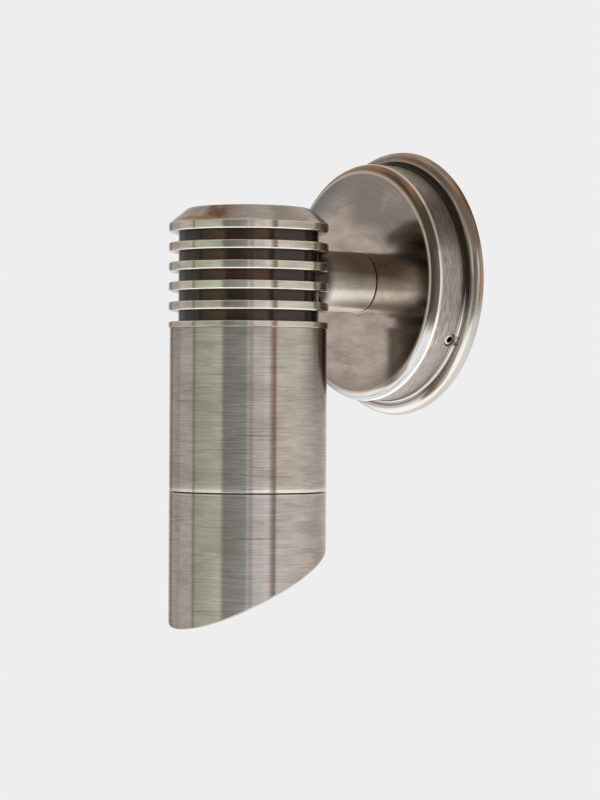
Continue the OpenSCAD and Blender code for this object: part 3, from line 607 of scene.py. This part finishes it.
# %% [markdown]
# ## The arm
#
# A short thick-walled tube, clamped between the canopy and the seat in the
# head by a threaded nipple inside it. A plain cylinder would nearly do. The
# same lathe gives it its bore and the small bevel at the canopy, where a dark
# line shows between the two.

# %% Model the arm
ARM_R, SEAT_D, ARM_BEVEL = 12.0, 50.85, 0.5
section = [(NIPPLE_R, FACE_D), (ARM_R, FACE_D), (ARM_R, SEAT_D), (NIPPLE_R, SEAT_D)]
turned_arm = turned_piece("turned_arm", section, [(ARM_R, FACE_D, ARM_BEVEL)], closed=True, steps=96)
put(turned_arm, (0, 0, 0), (90, 0, 0))
show(turned_arm, "arm", "wall_part")

# %% [markdown]
# ## Finishes
#
# All patterns read Object coordinates, in metres. Turned parts are brushed
# round their axis, so their patterns are drawn in turns and heights: the angle
# round the axis, the distance from it and the height along it. A mask says
# where a coat lies: it is 1 there, 0 elsewhere, and soft between. Here a mask
# is kept as a small function that adds its nodes when a finish asks for it, so
# masks can be named, combined and used on several pieces. A painted image
# would also say where a coat lies, but these stay sharp from any distance.

# %% Where a point lies on a turned piece
def turned_place(tree, axis, centre):
    """Angle round the axis, distance from it and height along it, in metres, for a turned piece."""
    where = node(tree, "ShaderNodeTexCoord").outputs["Object"]
    local = node(tree, "ShaderNodeVectorMath", {"operation": "SUBTRACT"}, _0=where, _1=tuple(centre)).outputs[0]
    parts = node(tree, "ShaderNodeSeparateXYZ", Vector=local).outputs
    across, other, along = {"Z": (0, 1, 2), "Y": (0, 2, 1)}[axis]
    angle = node(tree, "ShaderNodeMath", {"operation": "ARCTAN2"}, _0=parts[other], _1=parts[across]).outputs[0]
    flat = node(tree, "ShaderNodeCombineXYZ", X=parts[across], Y=parts[other]).outputs[0]
    radius = node(tree, "ShaderNodeVectorMath", {"operation": "LENGTH"}, _0=flat).outputs["Value"]
    # Cosine and sine of the angle close the circle, so that no pattern has a seam
    cosine, sine = [node(tree, "ShaderNodeMath", {"operation": op}, _0=angle).outputs[0] for op in ("COSINE", "SINE")]
    reach = node(tree, "ShaderNodeMath", {"operation": "ADD"}, _0=radius, _1=parts[along]).outputs[0]
    loop = node(tree, "ShaderNodeCombineXYZ", X=cosine, Y=sine, Z=reach).outputs[0]
    return {"tree": tree, "where": where, "loop": loop, "angle": angle, "radius": radius, "along": parts[along]}


# %% Masks for bands and edges
def band(what, low, high, soft):
    """A mask: an angle in degrees, or a radius or height in mm, lies between two values, with soft ends."""
    unit = math.pi / 180 if what == "angle" else MM

    def mask(place):
        ends = [
            node(
                place["tree"], "ShaderNodeMapRange", {"interpolation_type": "SMOOTHSTEP"}, Value=place[what],
                From_Min=(end - soft) * unit, From_Max=(end + soft) * unit, To_Min=before, To_Max=after,
            ).outputs[0]
            for end, before, after in ((low, 0.0, 1.0), (high, 1.0, 0.0))
        ]
        return node(place["tree"], "ShaderNodeMath", {"operation": "MULTIPLY"}, _0=ends[0], _1=ends[1]).outputs[0]

    return mask


# An edge's mask starts to fade at this share of its reach
EDGE_CORE = 0.35


def edge(radius, height, reach, pitch=None):
    """A mask: a turned edge, fading out within reach, all in mm. A pitch repeats it up the fins."""
    def mask(place):
        tree, along, level = place["tree"], place["along"], height
        if pitch:
            level = pitch / 2
            lowered = node(tree, "ShaderNodeMath", {"operation": "SUBTRACT"}, _0=along, _1=(height - level) * MM)
            along = node(
                tree, "ShaderNodeMath", {"operation": "FLOORED_MODULO"}, _0=lowered.outputs[0], _1=pitch * MM
            ).outputs[0]
        spot = node(tree, "ShaderNodeCombineXYZ", X=place["radius"], Y=along).outputs[0]
        corner = (radius * MM, level * MM, 0)
        away = node(tree, "ShaderNodeVectorMath", {"operation": "DISTANCE"}, _0=spot, _1=corner).outputs["Value"]
        return node(
            tree, "ShaderNodeMapRange", {"interpolation_type": "SMOOTHSTEP"}, Value=away,
            From_Min=EDGE_CORE * reach * MM, From_Max=reach * MM, To_Min=1.0, To_Max=0.0,
        ).outputs[0]

    return mask


# %% Masks for clouds and streaks
RADIAN = 57.3  # in degrees


def cloudy(place, sizes, seed=0.0):
    """Noise in clouds of three sizes in mm, along x, y and z."""
    scale = [1 / (size * MM) for size in sizes]
    moved = node(place["tree"], "ShaderNodeMapping", Vector=place["where"], Location=(seed, seed, seed), Scale=scale)
    return node(
        place["tree"], "ShaderNodeTexNoise", Vector=moved.outputs[0], Scale=1.0, Detail=4.0, Roughness=0.6
    ).outputs["Fac"]


def streaky(place, degrees, wide, seed=0.0):
    """Noise in streaks that run round the axis, degrees long and some mm wide."""
    scale = (RADIAN / degrees, RADIAN / degrees, 1 / (wide * MM))
    moved = node(place["tree"], "ShaderNodeMapping", Vector=place["loop"], Location=(seed, seed, seed), Scale=scale)
    return node(
        place["tree"], "ShaderNodeTexNoise", Vector=moved.outputs[0], Scale=1.0, Detail=3.0, Roughness=0.6
    ).outputs["Fac"]


def patches(noise_of, *sizes, low, high, seed=0.0):
    """A mask: a noise is above high, and fades out down to low."""
    def mask(place):
        noise = noise_of(place, *sizes, seed)
        return node(
            place["tree"], "ShaderNodeMapRange", {"interpolation_type": "SMOOTHSTEP"}, Value=noise,
            From_Min=low, From_Max=high,
        ).outputs[0]

    return mask


def overlap(*masks):
    """A mask: all the given masks at once."""
    def mask(place):
        covered, *others = [given(place) for given in masks]
        for other in others:
            covered = node(
                place["tree"], "ShaderNodeMath", {"operation": "MULTIPLY"}, _0=covered, _1=other
            ).outputs[0]
        return covered

    return mask


# %% [markdown]
# ### Darkened and rubbed plated brass
#
# The maker darkens the plated brass in acid and rubs it back by hand with a
# fine abrasive cloth while the piece turns. That leaves clouds of patina, fine
# lines round the axis, bright worn edges and dark hollows. Brush lines spread
# a reflection across themselves and not along: Anisotropic does this, with a
# tangent that runs round the axis. Real lines are about 0.05 mm apart, too
# fine to show here, so they are drawn about 0.35 mm apart.

# %% The brush lines
# For the fine lines, then the scratches: how often they change round the axis, how many mm lie between them, and
# their detail
BRUSH_MARKS = ((2.0, 0.35, 3.0), (1.3, 0.9, 4.0))
SWAY = 1.6


def brush_marks(place):
    """The fine lines and the scratches, as two noises that run round the axis and sway by a mm or so."""
    tree = place["tree"]
    wander = node(tree, "ShaderNodeTexNoise", Vector=place["where"], Scale=60.0, Detail=1.0).outputs["Fac"]
    sway = node(tree, "ShaderNodeVectorMath", {"operation": "SCALE"}, _0=(0, 0, SWAY * MM), Scale=wander).outputs[0]
    swaying = node(tree, "ShaderNodeVectorMath", {"operation": "ADD"}, _0=place["loop"], _1=sway).outputs[0]
    marks = []
    for across, tall, detail in BRUSH_MARKS:
        scale = (across, across, 1 / (tall * MM))
        drawn = node(tree, "ShaderNodeMapping", Vector=swaying, Scale=scale).outputs[0]
        noise = node(tree, "ShaderNodeTexNoise", Vector=drawn, Scale=1.0, Detail=detail, Roughness=0.6)
        marks.append(noise.outputs["Fac"])
    return marks


# %% The aged metal
def aged_metal(name, axis, centre, tones, roughness, coats=(), clouds=(22, 22, 9), anisotropy=1.0, depth=1.0):
    """Patina in three tones, in clouds of three sizes in mm, with coats over it. Depth is how strong the lines are."""
    made = bpy.data.materials.new(name)
    tree = new_tree(made)
    place = turned_place(tree, axis, centre)

    # Patina: where it is thick, the metal is darker and a little rougher
    cloud = cloudy(place, clouds)
    shade = node(tree, "ShaderNodeValToRGB", Fac=cloud)
    shade.color_ramp.elements.new(0.5)
    for element, spot, tone in zip(shade.color_ramp.elements, (0.34, 0.5, 0.66), tones):
        element.position, element.color = spot, linear(tone)
    colour = shade.outputs[0]
    rough = node(
        tree, "ShaderNodeMapRange", Value=cloud, From_Min=0.3, From_Max=0.7,
        To_Min=roughness + 0.03, To_Max=roughness - 0.02,
    ).outputs[0]

    # Each coat is (mask, tone, roughness) and lies over those before it
    for mask_of, tone, rough_there in coats:
        mask = mask_of(place)
        colour = node(tree, "ShaderNodeMix", {"data_type": "RGBA"}, _0=mask, _6=colour, _7=linear(tone)).outputs[2]
        rough = node(tree, "ShaderNodeMix", _0=mask, _2=rough, _3=rough_there).outputs[0]

    # Fine lines make the tone lighter and darker, and scratches only darker
    lines, scratches = brush_marks(place)
    line_tone = node(
        tree, "ShaderNodeMapRange", Value=lines, From_Min=0.25, From_Max=0.75,
        To_Min=1 - 0.16 * depth, To_Max=1 + 0.14 * depth,
    ).outputs[0]
    scratch_tone = node(
        tree, "ShaderNodeMapRange", {"interpolation_type": "SMOOTHSTEP"}, Value=scratches,
        From_Min=0.3, From_Max=0.42, To_Min=1 - 0.2 * depth, To_Max=1.0,
    ).outputs[0]
    both = node(tree, "ShaderNodeMath", {"operation": "MULTIPLY"}, _0=line_tone, _1=scratch_tone).outputs[0]
    colour = node(tree, "ShaderNodeVectorMath", {"operation": "SCALE"}, _0=colour, Scale=both).outputs[0]
    bump = node(tree, "ShaderNodeBump", Height=lines, Strength=0.12 * depth, Distance=0.05 * MM).outputs[0]

    brush_way = node(tree, "ShaderNodeTangent", {"direction_type": "RADIAL", "axis": axis}).outputs[0]
    surface = node(
        tree, "ShaderNodeBsdfPrincipled", Base_Color=colour, Metallic=1.0, Roughness=rough, Normal=bump,
        Tangent=brush_way, Anisotropic=anisotropy, Anisotropic_Rotation=0.25,
    )
    node(tree, "ShaderNodeOutputMaterial", Surface=surface.outputs[0])
    print(name, "uses", len(tree.nodes), "nodes")
    return made


# %% [markdown]
# ### The head
#
# The side that faces the wall is painted dark, as painted shade. Between the
# fins the cloth didn't reach, so the core is dark with patina; it is painted
# nearly black, which paints in the shade between the fins as well. The fins'
# edges are rubbed through to the bright plate, and their lower edges are painted
# brighter still, as a highlight. On the cap a little copper shows where the
# plate is thin. Angles count from straight right, and 90 degrees is the side of
# the wall.

# %% Masks on the finned top
# Painted shade: the side that faces the wall is painted darker
painted_shade_wall_side = band("angle", 70, 165, 14)

# The fins' right side is painted duller, as shade. Their edges are rubbed bright, the lower ones painted brighter still
# as a highlight, and the core is painted dark, for patina and shade, up to a little inside the fins
DARK_R = 28.9
painted_shade_fins_right = band("angle", 24, 165, 9)
fin_core_patina_and_shade = overlap(band("radius", 0, DARK_R, 0.9), band("along", -40, CAP_LOW + 0.4, 0.1))
fin_lower_edge_wear_and_highlight = edge(FIN_R, FIN_LOW, 1.0, FIN_PITCH)
fin_upper_edge = edge(FIN_R, FIN_LOW + FIN_T, 0.7, FIN_PITCH)
core_copper = overlap(fin_core_patina_and_shade, band("angle", -70, -20, 14), patches(streaky, 16, 4, low=0.36, high=0.62, seed=5.0))

# The cap, above its upright edge: lighter on the right, with a patch and an edge of copper on the left
cap_slope = band("along", 20.9, 40, 0.15)
slope_lighter_right = overlap(cap_slope, band("angle", -34, 60, 14))
slope_streaks = overlap(cap_slope, patches(streaky, 16, 1.6, low=0.44, high=0.68, seed=6.0))
copper_patch = overlap(
    band("angle", -74, -52, 5), band("radius", FLAT_R - 0.6, 40, 0.8), band("along", 20.9, 40, 0.4),
    patches(cloudy, (6, 6, 4), low=0.3, high=0.6),
)
copper_edge = overlap(edge(FIN_R - 1.2, SLOPE_LOW + 1, 1.5), band("angle", -114, -60, 8))
print("the dark reaches", round(DARK_R - CORE_R, 2), "mm up the fins, which stand", round(FIN_R - CORE_R, 2), "mm out")

# %% The finned top's finish
FIN_TONES = ("#B2A99E", "#CBC5BB", "#DAD3C9")
top_finish = aged_metal("darkened_plated_brass_fins", "Z", axis_spot, FIN_TONES, 0.17, (
    (cap_slope, "#B0A8A1", 0.24),
    (slope_streaks, "#C6BFB8", 0.22),
    (slope_lighter_right, "#D3CCC5", 0.26),
    (copper_patch, "#946D58", 0.26),
    (copper_edge, "#C68C63", 0.22),
    # Painted shade on the fins' right side
    (painted_shade_fins_right, "#B3AA9F", 0.34),
    (fin_upper_edge, "#E6DCCB", 0.16),
    # Worn edge, with a painted highlight under each fin
    (fin_lower_edge_wear_and_highlight, "#F1EADF", 0.12),
    # Painted shade on the side that faces the wall
    (painted_shade_wall_side, "#7C7269", 0.34),
    # Patina and painted shade between the fins
    (fin_core_patina_and_shade, "#4C443F", 0.22),
    (core_copper, "#5F483C", 0.24),
))

# %% The body tube's finish
TONES = ("#ABA39A", "#B8B0A8", "#C3BBB3")
# The cloth leaves light and dark streaks. Above the seam a bright line and a softer glow are painted highlights
rubbed = patches(streaky, 26, 3.5, low=0.5, high=0.72)
stained = patches(streaky, 40, 5, low=0.52, high=0.78, seed=3.0)
# Painted shade: the upper tube, under the rim, is painted darker on the side turned away
painted_shade_under_rim = overlap(band("angle", 14, 165, 12), band("along", -50, 0, 14))
painted_highlight_seam_line = edge(HEAD_R, TUBE_LOW + 0.3, 1.3)
painted_highlight_seam_glow = edge(HEAD_R, TUBE_LOW, 3.4)

tube_finish = aged_metal("darkened_plated_brass_tube", "Z", axis_spot, TONES, 0.19, (
    (rubbed, "#C3BBB2", 0.18),
    (stained, "#ABA299", 0.2),
    # Painted shade under the rim
    (painted_shade_under_rim, "#958C83", 0.2),
    # Painted highlights above the seam
    (painted_highlight_seam_glow, "#CFC7BE", 0.17),
    (painted_highlight_seam_line, "#F8F2EA", 0.13),
    # Painted shade on the side that faces the wall
    (painted_shade_wall_side, "#81776F", 0.22),
), depth=1.6)

# %% The hood's finish
# The same streaks, a paler front, a pinkish blush on the left, a painted highlight just below the seam, and painted
# shade in the seam's edge
hood_front = band("angle", -36, -4, 12)
hood_blush = overlap(band("angle", -118, -98, 6), patches(streaky, 30, 12, low=0.3, high=0.6, seed=9.0))
painted_highlight_hood_top = edge(HEAD_R, HOOD_TOP, 1.5)
painted_shade_seam = edge(HEAD_R, HOOD_TOP, 0.5)

hood_finish = aged_metal("darkened_plated_brass_hood", "Z", axis_spot, TONES, 0.19, (
    (hood_front, "#BFB9B5", 0.18),
    (hood_blush, "#CDBDB1", 0.2),
    (rubbed, "#C6BEB6", 0.18),
    (stained, "#ABA299", 0.2),
    # Painted highlight below the seam, and painted shade in it
    (painted_highlight_hood_top, "#D2C9BF", 0.16),
    (painted_shade_seam, "#3E3630", 0.3),
), depth=1.6)

# %% [markdown]
# ### The canopy, the arm and the grub screws
#
# The face was buffed last and mirrors the head. The drum was only brushed and
# stays matt. Rim, shoulder and cove carry painted highlights below and painted
# shade above, the cove nearly black. Copper shows on the rim and the shoulder,
# towards the top, where hands and weather wore the plate.
# Here 90 degrees is straight up, and heights along the axis are negative,
# because the light stands out from the wall towards -Y.

# %% Masks on the canopy's face and shoulder
# The face: grey clouds above, a darker border, a bluish side, and a painted highlight, a bright ring, round the arm
face_patina = overlap(
    band("radius", 22, 60, 6), band("angle", 30, 102, 14), patches(cloudy, (20, 9, 12), low=0.18, high=0.5, seed=4.0)
)
face_border = band("radius", 41, 50, 5)
face_edge = edge(FACE_R, -FACE_D, 1.0)
blue_patina = overlap(band("radius", 36, 60, 7), band("angle", 100, 158, 14))
painted_highlight_arm_ring = overlap(band("radius", 12.05, 12.6, 0.12), band("along", -21, -20, 0.1))

# The shoulder: a painted highlight below, streaked, and painted shade above, with copper on top, and a lip that is
# rubbed bright
shoulder = overlap(band("radius", 44.3, 47.4, 0.2), band("along", -20.3, -16.9, 0.2))
shoulder_streaks = overlap(shoulder, patches(streaky, 34, 0.8, low=0.46, high=0.6, seed=8.0))
painted_shade_shoulder_top = overlap(shoulder, band("angle", -24, 150, 5))
copper_shoulder = overlap(shoulder, band("angle", 40, 104, 12), patches(streaky, 20, 1.2, low=0.34, high=0.6))
lip = edge(47.0, -LIP_D - 0.3, 0.8)

# %% Masks on its drum, cove and rim
# The drum: matt, with short dark and light streaks
drum = overlap(band("radius", 46.9, 47.25, 0.1), band("along", -16.0, -4, 0.3))
drum_grain = overlap(drum, patches(streaky, 5, 0.5, low=0.4, high=0.62, seed=11.0))
drum_shine = overlap(drum, patches(streaky, 9, 0.8, low=0.54, high=0.72, seed=13.0))

# The cove: painted shade above, nearly black, and a painted highlight below, a bright line
cove = overlap(band("radius", 46.6, 49.1, 0.08), band("along", -6.2, 0, 0.6))
painted_shade_cove_top = overlap(cove, band("angle", -14, 96, 9))
painted_highlight_cove_line = overlap(edge(47.6, -4.85, 0.3), band("angle", -170, -10, 8))

# The rim: a painted highlight below and painted shade above, with light and copper streaks
rim = band("radius", 49.2, 60, 0.1)
rim_outside = overlap(band("radius", 52.1, 60, 0.3), band("angle", -150, -16, 8))
painted_shade_rim_top = overlap(rim, band("angle", -14, 150, 8))
light_streaks = overlap(painted_shade_rim_top, patches(streaky, 20, 1.4, low=0.5, high=0.66))
copper_streaks = overlap(rim, band("angle", -10, 95, 9), patches(streaky, 26, 1.9, low=0.48, high=0.68, seed=4.0))

# %% The canopy's finish
wall_spot = Vector((0, 0, 0))
FACE_TONES = ("#B3A89E", "#C6BBB0", "#D2C7BC")
canopy_finish = aged_metal("darkened_plated_brass_canopy", "Y", wall_spot, FACE_TONES, 0.12, (
    (face_patina, "#989089", 0.15),
    (face_border, "#A0958B", 0.14),
    (blue_patina, "#8B8A88", 0.16),
    # Painted highlight round the arm
    (painted_highlight_arm_ring, "#EADFD0", 0.3),
    # The rim's bright tone stays only below: a painted highlight
    (rim, "#DAD7D3", 0.16),
    # The shoulder's bright tone stays only below: a painted highlight
    (shoulder, "#C6C9CA", 0.13),
    # Painted shade on the rim's top
    (painted_shade_rim_top, "#A0958B", 0.2),
    (light_streaks, "#CFC5B9", 0.16),
    (copper_streaks, "#B99074", 0.2),
    (rim_outside, "#B4B2AF", 0.2),
    (shoulder_streaks, "#9DA3A6", 0.16),
    # Painted shade on the shoulder's top
    (painted_shade_shoulder_top, "#6E635B", 0.2),
    (copper_shoulder, "#A98469", 0.22),
    (drum, "#ABA5A0", 0.36),
    (drum_grain, "#918A84", 0.38),
    (drum_shine, "#C2BDB8", 0.32),
    (cove, "#A09A94", 0.26),
    # Painted shade in the cove's top, and a painted highlight below
    (painted_shade_cove_top, "#40362F", 0.3),
    (painted_highlight_cove_line, "#E4E1DC", 0.2),
    (face_edge, "#E2D6C6", 0.32),
    (lip, "#F3EBDF", 0.14),
), clouds=(14, 9, 5), anisotropy=0.4, depth=0.8)

# %% The arm's finish
ARM_TONES = ("#C5BAAE", "#DBD2C8", "#E6DED4")
# Painted shade above and a painted reflection of the floor below, with a rubbed place on top. Both ends are painted
# dark: shade where the arm meets the canopy, and the head's dark reflection near the head
painted_shade_arm_top = band("angle", 2, 150, 13)
arm_rubbed = overlap(band("along", -60, -34, 6), band("angle", 4, 44, 12))
painted_reflection_arm_under = band("angle", -165, -14, 9)
painted_shade_arm_end = edge(ARM_R, -FACE_D, 0.7)
painted_reflection_arm_root = band("along", -60, -43.3, 2.6)

arm_finish = aged_metal("darkened_plated_brass_arm", "Y", wall_spot, ARM_TONES, 0.27, (
    # Painted shade on top, a painted reflection of the floor below, and painted dark ends
    (painted_shade_arm_top, "#93867B", 0.3),
    (arm_rubbed, "#B9ACA0", 0.27),
    (painted_reflection_arm_under, "#F6F3F0", 0.24),
    (painted_shade_arm_end, "#4A3D34", 0.3),
    (painted_reflection_arm_root, "#5A514B", 0.3),
), clouds=(14, 9, 14), depth=0.7)

# %% The grub screws' finish
# Nickel plating keeps steel bright, and the key's socket looks black because nothing lights its floor
SCREW_TONES = ("#BDB8B1", "#D2CDC6", "#DEDAD3")
key_socket = band("radius", 0, 46.1, 0.05)
screw_finish = aged_metal(
    "nickel_plated_steel", "Y", wall_spot, SCREW_TONES, 0.22, ((key_socket, "#1A1614", 0.5),), anisotropy=0.0
)

# %% Give the turned pieces and the grub screws their finishes
def dress(material, *pieces):
    """Gives pieces or CAD nodes a finish."""
    for piece in pieces:
        dressed = nodes[piece] if isinstance(piece, str) else piece
        dressed.data.materials.clear()
        dressed.data.materials.append(material)
        print(material.name, "on", dressed.name)


dress(top_finish, turned_top)
dress(tube_finish, turned_tube)
dress(hood_finish, turned_hood)
dress(canopy_finish, turned_canopy)
dress(arm_finish, turned_arm)
dress(screw_finish, "canopy_grub_screws")

# %% [markdown]
# ### The parts inside
#
# Nobody rubs these back, so they keep the surface that their making gave them.
# Each could have a finish of its own, but they hardly show: one function gives
# them all a faint mottle and a grain, each with its real size in millimetres.

# %% A plain finish
def plain(name, shade, roughness, metallic=0.0, mottle=(5.0, 0.06), grain=(0.5, 0.1)):
    """A plain finish. Mottle and grain are a size in mm and a strength, of the tone and of the bump."""
    made = bpy.data.materials.new(name)
    tree = new_tree(made)
    where = node(tree, "ShaderNodeTexCoord").outputs["Object"]
    cloud, bumps = [
        node(tree, "ShaderNodeTexNoise", Vector=where, Scale=1 / (size * MM), Detail=3.0).outputs["Fac"]
        for size, _ in (mottle, grain)
    ]
    tone = node(
        tree, "ShaderNodeMapRange", Value=cloud, From_Min=0.3, From_Max=0.7, To_Min=1 - mottle[1], To_Max=1 + mottle[1]
    ).outputs[0]
    colour = node(
        tree, "ShaderNodeVectorMath", {"operation": "SCALE"}, _0=linear(shade)[:3], Scale=tone
    ).outputs[0]
    rough = node(
        tree, "ShaderNodeMapRange", Value=cloud, From_Min=0.3, From_Max=0.7,
        To_Min=roughness * 1.15, To_Max=roughness * 0.85,
    ).outputs[0]
    bump = node(tree, "ShaderNodeBump", Height=bumps, Strength=grain[1], Distance=0.2 * MM).outputs[0]
    surface = node(
        tree, "ShaderNodeBsdfPrincipled", Base_Color=colour, Metallic=metallic, Roughness=rough, Normal=bump
    )
    node(tree, "ShaderNodeOutputMaterial", Surface=surface.outputs[0])
    return made


# %% Metals inside
# Darkened inside too, so that no stray light shows: it looks brown and dull
dress(plain("darkened_brass", "#5A5048", 0.4, 1.0, mottle=(4, 0.12)), "lens_carrier")
# Left as the lathe made it: gold, with soft clouds where it was handled
dress(
    plain("turned_brass", "#C9A86A", 0.3, 1.0, mottle=(3, 0.08)),
    "nipple", "nipple_nut", "earth_terminal", "lens_ring",
)
# Zinc gives pressed and turned steel a cool grey with a faint spangle
dress(
    plain("zinc_plated_steel", "#B9BCC0", 0.36, 1.0, mottle=(6, 0.1), grain=(0.8, 0.12)),
    "mounting_plate", "terminal_screws", "block_screws", "nipple_washer", "holder_bracket",
    "bracket_screws", "holder_screws", "lamp_pins",
)

# %% Rubber, porcelain and plastics inside
# Moulded rubber is dull and nearly black, with paler clouds of talc
dress(
    plain("silicone_rubber", "#1C1C1C", 0.6, mottle=(2, 0.15), grain=(0.3, 0.2)),
    "cable_grommet", "wall_gasket", "top_seal", "carrier_seals", "lens_gasket",
)
# A glaze lies thick and glossy, with a slow ripple like an orange's peel
dress(plain("glazed_porcelain", "#EDEBE4", 0.16, grain=(2.5, 0.12)), "terminal_block", "lampholder")
# A sparked mould leaves plastic a fine even grain that takes the gloss off it
dress(plain("moulded_polycarbonate", "#E9E9E6", 0.35, grain=(0.4, 0.15)), "lamp_body")
# The wiring's plastic is drawn out of a die, smooth and half matt
dress(plain("lead_sheath", "#D8D8D5", 0.42, grain=(0.6, 0.15)), "inner_lead")
dress(plain("lead_cores", "#6B4A34", 0.42, grain=(0.6, 0.15)), "block_leads", "holder_leads")

# %% [markdown]
# ### The lamp's cover and the lens
#
# The lamp's front is a clear cover whose small round dimples spread the light.
# It shows to someone who looks up into the hood. Each dimple could be pressed
# into the mesh, but behind the lens a bump is enough: a Voronoi pattern has
# round cells, and their distance makes each a hollow. The lens in front of it
# is clear glass, of which the eye sees only a sheen and the edge.

# %% The lamp's cover and the lens
DIMPLE = 2.6  # in mm, from one to the next
GLASS_IOR = 1.47
cover = plain("dimpled_polycarbonate", "#F4F3EE", 0.18, mottle=(8, 0.03))
tree = cover.node_tree
where = node(tree, "ShaderNodeTexCoord").outputs["Object"]
dimples = node(
    tree, "ShaderNodeTexVoronoi", {"feature": "SMOOTH_F1"}, Vector=where, Scale=1 / (DIMPLE * MM), Smoothness=0.4
).outputs["Distance"]
pressed = node(tree, "ShaderNodeBump", Height=dimples, Strength=0.9, Distance=0.8 * MM).outputs[0]
tree.links.new(pressed, tree.nodes["Principled BSDF"].inputs["Normal"])
dress(cover, "lamp_front")

glass = plain("borosilicate_glass", "#F2F7F6", 0.02, mottle=(20, 0.02), grain=(12, 0.03))
surface = glass.node_tree.nodes["Principled BSDF"]
surface.inputs["Transmission Weight"].default_value = 1.0
surface.inputs["IOR"].default_value = GLASS_IOR
dress(glass, "lens_glass")
